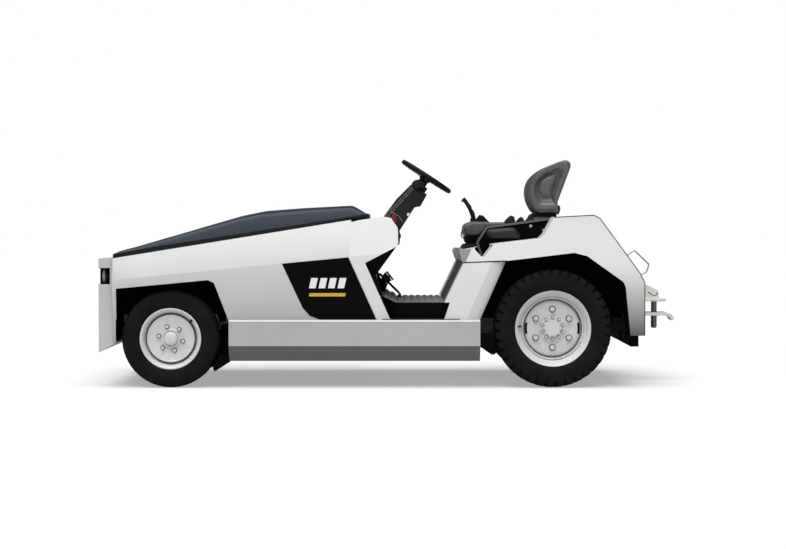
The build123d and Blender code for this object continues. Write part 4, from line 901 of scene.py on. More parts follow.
    def rear_rim(self, side):
        """Barrel and lip turned about the axle, the pierced disc, a hub with two scalloped caps,
        ten small bolts, six nuts on studs, their washers, a valve."""
        name, body, centre = self.place("rear", side)
        shape = Shape().turned(rounded(self.REAR_BARREL, 0.003, 3), centre, 144, flip=side)
        shape.turned(rounded(self.REAR_LIP, 0.002, 3), centre, 144, flip=side)
        shape.put(f"rear_wheel_rim_{name}", "rim", body, "rim_paint")
        self.rear_disc(side)
        detail = Shape().turned(rounded(self.REAR_HUB, 0.0016, 3), centre, 96, flip=side)
        angle = np.linspace(0, 2 * pi, 200, endpoint=False)
        lobes = (1 + self.LOBE_SHARE * np.cos(self.CAP_LOBES * angle))[:, None] * circle(200)
        for radius, low, high in self.REAR_CAPS:
            detail.loft([centre + lay(radius * share * lobes, side * out)
                         for share, out in ((1.0, low), (1.0, high - 0.001), (0.975, high))])
        detail.put(f"rear_hub_{name}", "rim", body, "rim_paint")
        bolts, washers = Shape(), Shape()
        self.fixings(bolts, washers, centre, side, self.REAR_BOLTS)
        places = self.fixings(bolts, washers, centre, side, self.REAR_NUTS)
        # dark steel washers: painted shadow round the foot of each nut and bolt
        washers.put(f"rear_nut_shadow_washers_{name}", "dark_steel", body, "rim_paint")
        for stud in places:
            bolts.tube([stud + (0, side * out, 0) for out in (0.019, 0.027, 0.029)],
                       [0.008, 0.008, 0.0066], 14)
        bolts.put(f"rear_wheel_nuts_{name}", "rim", body, "rim_paint")
        self.valve("rear", side, (0.199, 0.0585 * side, 0.012), (0.55, 0.83 * side, 0.0),
                   (-0.010, 0.006, 0.010, 0.022), (0.0052, 0.0050, 0.0034, 0.0034))

    def execute(self, context):
        for side in (1, -1):
            self.front_tyre(side)
            self.rear_tyre(side)
            self.front_rim(side)
            self.rear_rim(side)
        return {"FINISHED"}


def on_column(points):
    """Points about the steering axis, (across, up the wheel, along the axis), put in place."""
    points = np.asarray(points, float)
    axis = np.array((-sin(TILT), 0.0, cos(TILT)))
    across = np.array((0.0, 1.0, 0.0))
    up = np.cross(axis, across)
    return (np.asarray(STEERING) + points[..., :1] * across + points[..., 1:2] * up
            + points[..., 2:] * axis)


class TUG_OT_steering(bpy.types.Operator):
    """Steering wheel: a torus with finger waves on its underside, three flat spokes that swell
    into the rim, and a domed hub"""
    bl_idname = "tug.steering"
    bl_label = "Steering wheel"

    RADIUS, GRIP, WAVES, WAVE_SHARE = 0.171, 0.0135, 24, 0.05
    SPOKES = (90, 210, 330)
    SPOKE_START, INTO_RIM, SPOKE_LOW, SPOKE_CLIMB = 0.024, 0.002, -0.014, 0.012
    SPOKE_HALF, SPOKE_SWELL, SPOKE_THICK, THICK_SWELL = 0.015, 0.006, 0.0045, 0.002
    HUB = ((0.0005, -0.030), (0.034, -0.030), (0.038, -0.020), (0.038, 0.000), (0.032, 0.007),
           (0.0005, 0.0098))
    CAP = ((0.0005, 0.007), (0.024, 0.006), (0.025, 0.009), (0.022, 0.0115), (0.0005, 0.0125))

    def rim(self):
        """Torus of two angles, its tube a little thicker under each finger wave."""
        u = np.linspace(0, 2 * pi, 180, endpoint=False)[:, None]
        v = np.linspace(0, 2 * pi, 20, endpoint=False)[None, :]
        wave = 1.0 + self.WAVE_SHARE * np.cos(self.WAVES * u) * np.clip(-np.sin(v), 0, 1)
        r = self.GRIP * wave
        ring = self.RADIUS + r * np.cos(v)
        co = np.stack([ring * np.cos(u), ring * np.sin(u), r * np.sin(v) * 1.05], axis=-1)
        return put("steering_rim", on_column(co), grid_faces(180, 20, True, True), "grip",
                   "steering_wheel", 60.0)

    def execute(self, context):
        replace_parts(self.rim(), "steering_wheel")
        spokes = Shape()
        oval = circle(20)
        for angle in np.radians(self.SPOKES):
            along = np.array((cos(angle), sin(angle)))
            aside = np.array((-along[1], along[0]))
            rings = []
            for s in np.linspace(0, 1, 12):
                swell = (2 * s - 1) ** 2
                reach = self.SPOKE_START + s * (self.RADIUS - self.INTO_RIM - self.SPOKE_START)
                half = self.SPOKE_HALF + self.SPOKE_SWELL * swell
                thick = self.SPOKE_THICK + self.THICK_SWELL * swell
                flat = along * reach + np.outer(oval[:, 0] * half, aside)
                height = self.SPOKE_LOW + self.SPOKE_CLIMB * s + oval[:, 1] * thick
                rings.append(on_column(np.column_stack([flat, height])))
            spokes.loft(rings)
        for outline, radius, steps in ((self.HUB, 0.004, 4), (self.CAP, 0.0012, 3)):
            profile = rounded(outline, radius, steps)
            spokes.add(on_column(lathe(profile, 64, "z")), grid_faces(64, len(profile), True, True))
        spokes.put("steering_spokes", "plastic", "steering_wheel", "plastic_black", 40.0)
        return {"FINISHED"}


class TUG_OT_column(bpy.types.Operator):
    """Column details: a switch pod whose round sections shrink along its length, with its stalk,
    the key, and a turned collar under the stop button"""
    bl_idname = "tug.column"
    bl_label = "Column details"

    POD_X, POD_Z, POD_WIDE = -0.150, 1.238, 1.15
    # Distance from the middle plane and radius of each section of the pod
    POD = ((0.010, 0.031), (0.050, 0.034), (0.070, 0.031), (0.080, 0.024), (0.084, 0.012))
    STALK = ((-0.164, 0.080, 1.222), (-0.168, 0.120, 1.221), (-0.172, 0.150, 1.222))
    KNOB = ((-0.171, 0.144, 1.222), (-0.173, 0.162, 1.223), (-0.1735, 0.167, 1.223))
    BARREL = ((-0.088, 0.086, 1.046), (-0.089, 0.104, 1.048), (-0.0895, 0.106, 1.0485))
    BOW = ((-0.096, 1.040), (-0.082, 1.040), (-0.080, 1.056), (-0.094, 1.060))
    COLLAR = ((0.010, 0.0), (0.021, 0.0), (0.022, 0.004), (0.019, 0.008), (0.010, 0.008))
    COLLAR_PLACE = (0.002, 0.0895, 1.034)

    def execute(self, context):
        pod = Shape().loft([lay(circle(28) * (self.POD_WIDE * r, r) + (self.POD_X, self.POD_Z), y)
                            for y, r in self.POD])
        pod.tube(smooth_path(self.STALK, 0.02), 0.0050, 12)
        pod.tube(self.KNOB, [0.008, 0.009, 0.005], 14)
        pod.put("column_switch", "plastic", "root", "plastic_black")
        key = Shape().tube(self.BARREL, [0.011, 0.011, 0.009], 20)
        key.prism(self.BOW, 0.104, 0.128)
        key.put("ignition_key", "chrome", "root", "steel")
        collar = Shape().turned(rounded(self.COLLAR, 0.0015, 3), self.COLLAR_PLACE, 40)
        collar.put("stop_collar", "plastic", "root", "plastic_black")
        return {"FINISHED"}


def pillow(outline, half_width, edge, crown, channels=()):
    """Closed pad: a side outline carried across the width, each section shrunk towards the
    outline's middle near the two ends by a superellipse, and raised along the centre line. Sewn
    channels across it, and two seams along it at a share of its half width, lower the face that
    looks up by narrow bells."""
    channel_deep, channel_wide, channel_reach = 0.007, 0.006, 0.20
    seam_deep, seam_wide, seam_share = 0.006, 0.035, 0.62
    outline = np.asarray(outline, float)
    middle = outline.mean(0)
    size = np.abs(outline - middle).max(0)
    share = np.sin(np.linspace(-pi / 2, pi / 2, 48))[:, None]
    y = share * half_width
    inset = np.clip((np.abs(y) - (half_width - edge)) / edge, 0, 1)
    shrink = (1 - inset ** 3) ** (1 / 3)
    arm = (outline - middle) * (1 - (1 - shrink)[..., None] * edge / size)
    x, z = arm[..., 0], arm[..., 1]
    drop = seam_deep * bells(share, (-seam_share, seam_share), seam_wide)
    if channels:
        drop = drop + (channel_deep * bells(x, channels, channel_wide)
                       * (np.abs(y) < channel_reach))
    lift = crown * (1 - share ** 2) * np.clip((outline[:, 1] - middle[1]) / size[1], 0, 1)
    z = z - drop * (z > 0.25 * size[1]) + lift
    return lay(np.stack([x, z], axis=-1) + middle, y + 0 * x)


class TUG_OT_seat(bpy.types.Operator):
    """Seat: pads carried across from their side outlines, wings with a rolled rim round a
    recess, and a moulded back"""
    bl_idname = "tug.seat"
    bl_label = "Seat"

    BACK = ((-1.079, 1.393), (-1.106, 1.372), (-1.106, 1.345), (-1.066, 1.237), (-1.020, 1.116),
            (-1.034, 1.060), (-0.892, 1.056), (-0.852, 1.128), (-0.841, 1.187), (-0.847, 1.237),
            (-0.866, 1.278), (-0.900, 1.312), (-0.948, 1.345), (-1.034, 1.381))

    # Share kept of the outline, distance from the middle plane: rim, rolled edge, recess
    WING = ((0.970, 0.2035), (1.000, 0.2100), (1.000, 0.2260), (0.980, 0.2380), (0.945, 0.2440),
            (0.915, 0.2445), (0.905, 0.2415), (0.895, 0.2445), (0.840, 0.2448), (0.760, 0.2440),
            (0.690, 0.2400), (0.630, 0.2290), (0.580, 0.2150), (0.520, 0.2090), (0.460, 0.2110),
            (0.400, 0.2200), (0.320, 0.2265), (0.180, 0.2290), (0.040, 0.2295))
    WING_MIDDLE, RECESS_MIDDLE = (-0.965, 1.200), (-0.952, 1.238)
    SHELL = ((-1.020, 1.062), (-1.010, 1.114), (-1.058, 1.237), (-1.098, 1.345), (-1.098, 1.366),
             (-1.074, 1.384), (-1.036, 1.372))
    SHELL_HALF, SHELL_Y = 0.006, 0.212
    CUSHION = ((-0.436, 0.935), (-0.440, 0.985), (-0.484, 1.004), (-0.640, 0.998),
               (-0.835, 1.004), (-0.875, 1.030), (-0.947, 1.040), (-0.983, 1.030),
               (-0.983, 0.953), (-0.602, 0.938), (-0.577, 0.960), (-0.519, 0.906),
               (-0.450, 0.907))
    # Sewn channels, forward of the cushion's middle
    CHANNELS = (0.133, -0.047)
    PAD = ((-1.074, 1.372), (-1.078, 1.345), (-1.038, 1.237), (-0.991, 1.114), (-0.993, 1.068),
           (-0.912, 1.060), (-0.897, 1.114), (-0.934, 1.237), (-0.969, 1.326), (-0.995, 1.366))
    GUARD = ((-0.985, 1.030), (-0.575, 0.976), (-0.508, 0.880), (-0.512, 0.868),
             (-0.543, 0.788), (-0.553, 0.788), (-0.622, 0.869), (-0.876, 0.907), (-0.985, 0.913))
    GUARD_RAIL = ((-0.984, 1.0225), (-0.579, 0.9685), (-0.518, 0.874), (-0.545, 0.795))
    GUARD_Y, RAIL_Y, SWELL_ROOT_Y, RAIL_WIDTH = (0.2460, 0.2670), (0.2660, 0.2725), 0.2620, 0.0135
    GUARD_BOLTS = ((-0.853, 0.9765), (-0.934, 0.951))
    SWELL_START, SWELL_REACH, SWELL_OUT, SWELL_SLANT = -0.572, 0.183, 0.026, 0.048
    SWELL_LOW, SWELL_HIGH, SWELL_FALL = 0.897, 0.956, 0.085

    def wings(self):
        """Sections of the back's outline, shrunk towards the middle of the recess."""
        outline = rounded(self.BACK, 0.03, 4)
        middle, recess = np.array(self.WING_MIDDLE), np.array(self.RECESS_MIDDLE)
        shape = Shape()
        for side in (1, -1):
            shape.loft([lay(middle + (recess - middle) * (1.0 - share)
                            + (outline - middle) * share, side * y) for share, y in self.WING])
        return shape.put("seat_back_wings", "shell", "root", "plastic_black", 60.0)

    def shell(self):
        """A line carried half the wall's thickness to each side along its normals."""
        line = rounded(self.SHELL, 0.03, 5, closed=False)
        step = np.gradient(line, axis=0)
        step /= np.linalg.norm(step, axis=1)[:, None]
        off = np.stack([-step[:, 1], step[:, 0]], axis=-1) * self.SHELL_HALF
        shape = Shape().prism(np.concatenate([line + off, (line - off)[::-1]]), -self.SHELL_Y,
                              self.SHELL_Y)
        shape.put("seat_back_shell", "shell", "root", "plastic_black", 50.0)

    def pad(self, name, node, rings):
        """A vinyl pad of closed sections, in place of the CAD's."""
        piece = Shape().loft(rings).put(name, "vinyl", "root", "seat_vinyl", 70.0)
        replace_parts(piece, node)

    def guards(self):
        """Plate on each side of the pan, with a raised band and a half-round swell that runs
        along it, each section of the swell a half ellipse. The black plate is partly a guard and
        partly painted shade: it fills the dark space under the seat's side down to the deck."""
        plate, rail, swell, bolts = Shape(), Shape(), Shape(), Shape()
        outline = rounded(self.GUARD, 0.004, 2)
        strip = band(smooth_path(self.GUARD_RAIL, 0.012, 4), self.RAIL_WIDTH)
        t = np.linspace(-pi / 2, pi / 2, 13)
        for side in (1, -1):
            plate.prism(outline, *(side * y for y in self.GUARD_Y))
            rail.prism(strip, *(side * y for y in self.RAIL_Y))
            rings = []
            for u in np.linspace(0, 1, 19):
                x = self.SWELL_START - self.SWELL_REACH * u
                full = (1 - abs(2 * u - 1) ** 7) ** 0.5
                low = self.SWELL_LOW
                high = self.SWELL_HIGH - self.SWELL_FALL * (x - self.SWELL_START)
                half = (high - low) / 2 * (0.55 + 0.45 * full)
                z = (low + high) / 2 + half * np.sin(t)
                y = self.RAIL_Y[0] + self.SWELL_OUT * full * np.cos(t)
                y, z = np.append(y, [self.SWELL_ROOT_Y] * 2), np.append(z, [z[-1], z[0]])
                slant = x - self.SWELL_SLANT * u * (high - z) / (high - low)
                rings.append(np.stack([slant, side * y, z], axis=-1))
            swell.loft(rings)
            spots = [(x, side * self.GUARD_Y[1], z) for x, z in self.GUARD_BOLTS]
            bolts.bolts(spots, (0, side, 0), 0.0075, 0.007, washer=0.0095)
        # black plates: partly a real guard, partly painted shade that fills the dark space under
        # the seat's side
        plate.put("seat_guard_plates", "liner", "root", "plastic_black")
        rail.put("seat_guard_rails", "shell", "root", "plastic_black", 50.0)
        swell.put("seat_guard_swells", "plastic", "root", "plastic_black", 50.0)
        bolts.put("seat_guard_bolts", "zinc", "root", "steel")

    def execute(self, context):
        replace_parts(self.wings(), "seat_back")
        self.shell()
        self.pad("seat_cushion_pad", "seat_cushion",
                 pillow(rounded(self.CUSHION, 0.024, 5), half_width=0.229, edge=0.045,
                        crown=0.008, channels=self.CHANNELS))
        self.pad("seat_back_cushion", "seat_back_pad",
                 pillow(rounded(self.PAD, 0.03, 5), half_width=0.203, edge=0.045, crown=0.0))
        self.guards()
        return {"FINISHED"}


class TUG_OT_lamps(bpy.types.Operator):
    """Headlamps: a black pocket, and a bowl, a bulb, a domed lens and a pale bezel that are
    outlines turned about the lamp's axis"""
    bl_idname = "tug.lamps"
    bl_label = "Lamps"

    CENTRE = (1.714, 0.6325, 0.674)
    # Pocket walls: x from, to, z from, to, y from, to
    WALLS = ((1.7142, 1.7162, 0.6260, 0.7220, 0.5610, 0.7035),
             (1.7165, 1.7800, 0.6252, 0.6272, 0.5610, 0.7035),
             (1.7165, 1.7800, 0.7208, 0.7228, 0.5610, 0.7035),
             (1.7165, 1.7800, 0.6275, 0.7205, 0.5605, 0.5625))
    PLATE_HALF, PLATE_HOLE, PLATE_BACK, PLATE_FRONT = (0.0712, 0.0472), 0.0452, 0.050, 0.058
    TURNED = (
        # piece, finish, slot, sides, corner radius, steps of an arc, (radius, forward) outline
        ("lamp_housings", "plastic", "plastic_black", 64, 0.0015, 3,
         ((0.012, 0.0025), (0.029, 0.0025), (0.0415, 0.024), (0.0435, 0.030), (0.0435, 0.0345),
          (0.041, 0.0345), (0.0395, 0.026), (0.028, 0.006), (0.012, 0.006))),
        ("lamp_bowls", "reflector", "lamp_glass", 64, 0.001, 3,
         ((0.010, 0.008), (0.0265, 0.008), (0.0375, 0.027), (0.0395, 0.0345), (0.0380, 0.0345),
          (0.0355, 0.028), (0.025, 0.010), (0.010, 0.010))),
        ("lamp_bezels", "nose", "lamp_glass", 64, 0.0012, 3,
         ((0.0400, 0.0350), (0.0438, 0.0350), (0.0438, 0.0500), (0.0420, 0.0518),
          (0.0400, 0.0505))),
        ("lamp_bulbs", "lens", "lamp_glass", 24, 0.002, 3,
         ((0.0004, 0.002), (0.007, 0.003), (0.0065, 0.022), (0.0004, 0.028))),
        ("lamp_lenses", "lens", "lamp_glass", 64, 0.001, 2,
         ((0.0004, 0.0505), (0.020, 0.0490), (0.0395, 0.0440), (0.0395, 0.0410), (0.019, 0.0460),
          (0.0004, 0.0475))),
    )

    def execute(self, context):
        pocket = Shape()
        centres = [np.array(self.CENTRE) * (1, side, 1) for side in (1, -1)]
        square = np.clip(circle(32) * 1.6, -1, 1) * self.PLATE_HALF
        hole = circle(32) * self.PLATE_HOLE
        for side, centre in zip((1, -1), centres):
            for x0, x1, z0, z1, y0, y1 in self.WALLS:
                pocket.prism([(x0, z0), (x1, z0), (x1, z1), (x0, z1)], side * y0, side * y1)
            pocket.add([centre + lay(flat, forward, "yz") for flat, forward in (
                (square, self.PLATE_BACK), (square, self.PLATE_FRONT), (hole, self.PLATE_FRONT),
                (hole, self.PLATE_BACK))], grid_faces(4, 32, True, True))
        pocket.put("lamp_pockets", "liner", "root", "plastic_black")
        for name, finish, slot_name, sides, radius, steps, outline in self.TURNED:
            shape = Shape()
            for centre in centres:
                shape.turned(rounded(outline, radius, steps), centre, sides, axis="x")
            piece = shape.put(name, finish, "root", slot_name)
            if name == "lamp_lenses":
                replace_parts(piece, "headlamps")
        return {"FINISHED"}


class TUG_OT_floor(bpy.types.Operator):
    """Floor and toe plate: flat sheets in cells, each cell a ring of faces round its hole, with
    walls where a cell meets the sheet's edge"""
    bl_idname = "tug.floor"
    bl_label = "Floor plates"

    # Toe plate: corner, its reach along and across, thickness
    TOE = ((-0.010, -0.690, 0.5155), (0.122, 0, 0.0585), (0, 1.380, 0), 0.003)
    POINTS = 16                                         # round each hole

    def sheet(self, name, corner, along, across, thick):
        """Each cell is six rings of points: its square above, the collar's foot, top and inner
        edge, and the hole and the square below."""
        corner, along, across = (np.asarray(v, float) for v in (corner, along, across))
        reach = np.linalg.norm(along), np.linalg.norm(across)
        first, second = along / reach[0], across / reach[1]
        normal = np.cross(first, second)
        nx, ny = (max(int(v // sizes().hole_pitch), 1) for v in reach)
        pitch = np.array((reach[0] / nx, reach[1] / ny))
        n = self.POINTS
        square = np.clip(circle(n) * 1.6, -1, 1) * pitch / 2
        hole = circle(n) * sizes().hole_radius
        ix, iy = (v.ravel() for v in np.meshgrid(np.arange(nx), np.arange(ny), indexing="ij"))
        centres = np.stack([ix + 0.5, iy + 0.5], axis=-1) * pitch
        flat = np.stack([centres[:, None] + ring for ring in (
            square, hole * 1.40, hole * 1.12, hole * 0.94, hole * 0.94, square)], axis=1)
        top = thick + sizes().collar_height
        height = np.array((thick, thick, top, top, 0.0, 0.0))[None, :, None, None]
        co = corner + flat[..., :1] * first + flat[..., 1:] * second + height * normal
        k = np.arange(n)
        cell, below = 6 * n, 5 * n                      # points in a cell, and to its lowest ring
        base = (np.arange(nx * ny) * cell)[:, None, None] + (np.arange(5) * n)[None, :, None]
        one, two = base + k, base + (k + 1) % n
        faces = [np.stack([one, two, two + n, one + n], axis=-1).reshape(-1, 4)]
        # walls along the sheet's edges, each over the quarter turn about the middle of its side
        for edge, eighth in ((ix == nx - 1, -1), (iy == ny - 1, 1), (ix == 0, 3), (iy == 0, 5)):
            turn = (eighth * n // 8 + np.arange(n // 4 + 1)) % n
            at = np.flatnonzero(edge)[:, None] * cell
            p, q = at + turn[:-1], at + turn[1:]
            faces.append(np.stack([p, q, q + below, p + below], axis=-1).reshape(-1, 4))
        return put(name, co, np.concatenate(faces), "floor", "root", 30.0)

    def execute(self, context):
        low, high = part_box("floor_plate")
        size = high - low
        plate = self.sheet("floor_perforated", low, (size.x, 0, 0), (0, size.y, 0), size.z)
        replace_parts(plate, "floor_plate")
        self.sheet("toe_perforated", *self.TOE)
        return {"FINISHED"}


class TUG_OT_trim(bpy.types.Operator):
    """Trim: small pieces given as outlines or paths in the side view and carried across a
    short width, on both sides where the table says so"""
    bl_idname = "tug.trim"
    bl_label = "Trim"

    SEAM = ((-0.961, 1.0285), (-1.199, 1.0412), (-1.237, 1.020), (-1.4775, 0.6925),
            (-1.5065, 0.6345), (-1.5065, 0.3165))

    PIECES = (
        # name, finish, slot, width of band or 0 for an outline, y from, y to, both sides, points
        ("fender_seam", "seal", "rubber_black", 0.005, 0.7340, 0.7362, True, SEAM),
        ("fender_joint", "liner", "black_paint", 0.007, 0.7340, 0.7358, True,
         ((-0.414, 0.7560), (-0.676, 0.7655))),
        ("step_edge", "grip", "rubber_black", 0, 0.7365, 0.7508, True,
         ((-0.394, 0.4120), (0.074, 0.4120), (0.074, 0.4165), (-0.394, 0.4165))),
        ("step_tread", "grip", "rubber_black", 0, 0.6000, 0.7350, True,
         ((-0.310, 0.4120), (0.020, 0.4120), (0.020, 0.4150), (-0.310, 0.4150))),
        ("deck_mat", "grip", "rubber_black", 0, -0.2600, 0.2600, False,
         ((-0.432, 0.8320), (-0.520, 0.8500), (-0.520, 0.8700), (-0.448, 0.8620),
          (-0.434, 0.8480))),
        ("front_buckle", "plastic", "plastic_black", 0, 0.2050, 0.2350, False,
         ((-0.690, 1.000), (-0.760, 1.000), (-0.752, 1.036), (-0.728, 1.043), (-0.696, 1.014))),
        ("middle_buckle", "plastic", "plastic_black", 0, 0.2050, 0.2350, False,
         ((-0.760, 1.000), (-0.820, 1.000), (-0.806, 1.030), (-0.790, 1.034), (-0.766, 1.010))),
        ("rear_buckle", "plastic", "plastic_black", 0, 0.2050, 0.2350, False,
         ((-0.820, 1.004), (-0.880, 1.010), (-0.868, 1.036), (-0.846, 1.046), (-0.826, 1.014))),
        ("lever_boot", "grip", "plastic_black", 0, -0.3560, -0.3040, False,
         ((-0.540, 0.890), (-0.622, 0.890), (-0.622, 1.004), (-0.582, 1.046), (-0.558, 1.050),
          (-0.536, 1.020), (-0.500, 1.030), (-0.498, 0.996))),
        ("seat_hook", "plastic", "plastic_black", 0.0075, 0.2290, 0.2370, False,
         ((-0.447, 0.952), (-0.425, 0.945), (-0.4195, 0.925), (-0.425, 0.905), (-0.452, 0.893))),
        ("seat_hinge_cover", "grip", "plastic_black", 0, -0.2000, 0.2000, False,
         ((-0.905, 1.066), (-0.872, 1.048), (-0.872, 1.028), (-1.004, 1.018), (-1.022, 1.066))),
        ("seat_back_latch", "plastic", "plastic_black", 0, 0.1700, 0.2100, False,
         ((-1.012, 1.112), (-1.040, 1.104), (-1.044, 1.082), (-1.034, 1.050), (-1.008, 1.050))),
        ("seat_bellows", "liner", "rubber_black", 0, -0.2350, 0.2350, False,
         ((-0.450, 0.915), (-0.452, 0.884), (-0.470, 0.856), (-0.600, 0.880), (-0.600, 0.930))),
        ("deck_nose", "deck_nose", "rubber_black", 0, 0.4720, 0.7358, True,
         ((-0.392, 0.812), (-0.404, 0.833), (-0.430, 0.8315), (-0.463, 0.8375), (-0.428, 0.7590),
          (-0.410, 0.7590))),
        # pale strip on each sill's top edge: a painted highlight where the edge catches the light
        ("sill_highlight_strip", "pale", "body_white", 0, 0.7440, 0.7522, True,
         ((0.994, 0.4005), (0.994, 0.4120), (-0.515, 0.4120), (-0.515, 0.4005))),
        ("front_flap_side", "liner", "chassis_black", 0, 0.7000, 0.7160, True,
         ((0.998, 0.200), (0.998, 0.1565), (1.0855, 0.1015), (1.0955, 0.120), (1.054, 0.200))),
        ("rear_flap_side", "liner", "chassis_black", 0, 0.7000, 0.7280, True,
         ((-0.519, 0.330), (-0.519, 0.254), (-0.598, 0.199), (-0.6165, 0.215), (-0.590, 0.330))),
        ("pedal_block", "grip", "rubber_black", 0, 0.0150, 0.1050, False,
         ((0.056, 0.684), (0.016, 0.630), (0.050, 0.618), (0.080, 0.655))),
        ("pedal_arm", "liner", "chassis_black", 0, 0.0300, 0.0900, False,
         ((0.080, 0.650), (0.050, 0.628), (0.064, 0.556), (0.100, 0.573), (0.108, 0.610))),
        ("throttle_pad", "grip", "rubber_black", 0.014, -0.1900, -0.1250, False,
         ((-0.032, 0.5435), (0.093, 0.6665))),
        ("stop_plate", "red", "button_red", 0, 0.0960, 0.1085, False,
         ((0.030, 1.022), (0.006, 1.036), (-0.021, 1.016), (-0.003, 0.994), (0.020, 1.004))),
        ("dash_trim", "liner", "plastic_black", 0, -0.7000, 0.7000, False,
         ((-0.0225, 0.976), (-0.0300, 0.966), (-0.0340, 0.930), (-0.0340, 0.885), (-0.0300, 0.866),
          (-0.0225, 0.860))),
    )

    CLIP = ((-1.611, 0.1125, 0.557), (-1.629, 0.1125, 0.542), (-1.649, 0.1125, 0.534),
            (-1.665, 0.1125, 0.543), (-1.669, 0.1125, 0.556))
    SLEEVE = ((-0.526, -0.33, 1.006), (-0.514, -0.33, 1.043), (-0.497, -0.33, 1.090),
              (-0.476, -0.33, 1.128), (-0.461, -0.33, 1.149))
    CATCH = ((-0.463, -0.33, 1.150), (-0.452, -0.33, 1.147), (-0.441, -0.33, 1.135))
    COLUMN_EDGE = ((0.061, 1.0465), (0.004, 1.107), (-0.060, 1.176), (-0.118, 1.241))
    COLUMN_ARC = ((0.0226, 1.0656), (-0.022, 1.0490), (-0.055, 1.000))
    # Width of the strip under the hood, by x
    STRIP = ((0.17, 0.60, 1.45, 1.69), (0.010, 0.020, 0.028, 0.022))
    STRIP_Y, STRIP_GAP, STRIP_ENDS = (0.7185, 0.7215), 0.0025, (1.690, 0.172)

    def column_lines(self):
        """Lines on the column's cheeks, which lean in by a fixed share of the height."""
        lines = Shape()
        edge = np.array(self.COLUMN_EDGE)
        for path in (edge + (-0.003, -0.006), edge + (-0.013, -0.015),
                     smooth_path(self.COLUMN_ARC, 0.03, 8)):
            cheek = 0.118 - 0.056 * (path[:, 1] - 0.930) / 0.320 + 0.0006
            for side in (1, -1):
                lines.tube(lay(path, side * cheek), 0.0013, 8)
        lines.put("column_lines", "loop", "root", "plastic_black")

    def hood_strip(self):
        """Rubber strip along the body's top edge, its height a function of x."""
        x = np.linspace(*self.STRIP_ENDS, 60)
        low = body_top(x) + self.STRIP_GAP
        high = low + np.interp(x, *self.STRIP)
        near, far = self.STRIP_Y
        strip = Shape()
        for side in (1, -1):
            corners = [(near, low), (far, low), (far, high), (near, high)]
            strip.loft(np.stack([np.stack([x, side * y + 0 * x, z], axis=-1) for y, z in corners],
                                axis=1))
        bevelled(strip.put("hood_trim", "seal", "hood", "rubber_black"), 0.0008)

    def execute(self, context):
        for name, finish, slot_name, width, y0, y1, both, points in self.PIECES:
            shape = Shape()
            if width:
                outline = band(smooth_path(points, 0.006, 4), width)
            else:
                outline = rounded(points, 0.003, 3)
            for side in (1, -1) if both else (1,):
                shape.prism(outline, side * y0, side * y1)
            bevelled(shape.put(name, finish, "root", slot_name), 0.0005)
        clip = Shape().tube(smooth_path(self.CLIP, 0.008), 0.0032, 10)
        clip.put("hitch_clip", "dark_steel", "root", "steel")
        lever = Shape().tube(smooth_path(self.SLEEVE, 0.02), 0.0125, 16)
        lever.tube(self.CATCH, [0.008, 0.006, 0.004], 12)
        lever.put("lever_sleeve", "grip", "root", "plastic_black")
        self.column_lines()
        self.hood_strip()
        return {"FINISHED"}


class TUG_OT_rear_side(bpy.types.Operator):
    """Rear sides: a flat skin with a fold along a slanted line. Behind the line the skin turns
    inward, its offset being the distance from the line times the tangent of the fold"""
    bl_idname = "tug.rear_side"
    bl_label = "Rear sides"

    OUTER_Y, SKIN, INNER_Y = 0.735, 0.005, 0.560
    FRONT = ((-0.2990, 0.4122), (-0.3350, 0.5160), (-0.3035, 0.5160), (-0.4180, 0.7545),
             (-0.4300, 0.7556))
    LINE = ((-0.5900, 0.7618), (-0.4330, 0.4122))
    REAR = ((-0.6775, 0.7652), (-0.5182, 0.4122))
    TURN = radians(21.0)

    def execute(self, context):
        top, low = np.array(self.LINE)
        along = (top - low) / np.linalg.norm(top - low)
        away = np.array((-along[1], along[0]))
        flat = np.array(self.FRONT + self.LINE)
        fold = np.array((self.LINE[0], self.REAR[0], self.REAR[1], self.LINE[1]))
        drop = np.maximum((fold - top) @ away, 0.0) * tan(self.TURN)
        for side, name in ((1, "left"), (-1, "right")):
            skin = Shape().prism(flat, side * (self.OUTER_Y - self.SKIN), side * self.OUTER_Y)
            skin.loft([lay(fold, side * (self.OUTER_Y - inset - drop))
                       for inset in (self.SKIN, 0.0)])
            edge = band(np.array(self.FRONT[2:4]), self.SKIN) - (self.SKIN / 2, 0)
            skin.prism(edge, side * self.INNER_Y, side * (self.OUTER_Y - self.SKIN))
            piece = skin.put(f"rear_side_skin_{name}", "cowl", "root", "body_white", 8.0, False)
            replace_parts(piece, f"rear_side_{name}")
        return {"FINISHED"}


class TUG_OT_stripes(bpy.types.Operator):
    """Plain stripes that lie on the black panels' lower facets: each bar is a slanted outline
    put at two small distances from the facet"""
    bl_idname = "tug.stripes"
    bl_label = "Panel stripes"

    SINK, RISE = -0.001, 0.0012
    FIRST_X, PITCH, COUNT = 0.513, 0.057, 4
    # Bars: length, z from, z to, lean of the slanted ends
    PALE = (0.040, 0.602, 0.664, 0.014)
    WARM = (0.217, 0.553, 0.573, 0.004)

    def on_panel(self, x, z, side, out):
        """Point on the black panel's lower facet, moved outward. The facet leans out from the
        sill to the crease, whose height falls towards the nose."""
        foot_z, foot_y, lean, skin = 0.412, 0.725, 0.025, 0.003
        crease = side_z(x, 0.650, 0.7936)
        y = foot_y + (z - foot_z) / (crease - foot_z) * lean + skin
        return np.array((x, side * (y + out), z))

    def bar(self, shape, side, x, size):
        """A thin slanted bar that lies on the panel, from x rearward."""
        reach, z0, z1, lean = size
        corners = [(x, z0), (x - reach, z0), (x - reach - lean, z1), (x - lean, z1)]
        shape.loft([[self.on_panel(*corner, side, out) for corner in corners]
                    for out in (self.SINK, self.RISE)])

    def execute(self, context):
        pale, warm = Shape(), Shape()
        for side in (1, -1):
            for k in range(self.COUNT):
                self.bar(pale, side, self.FIRST_X - k * self.PITCH, self.PALE)
            self.bar(warm, side, self.FIRST_X, self.WARM)
        pale.put("panel_stripes_pale", "pale", "root", "body_white")
        warm.put("panel_stripes_warm", "warm", "root", "body_white")
        return {"FINISHED"}


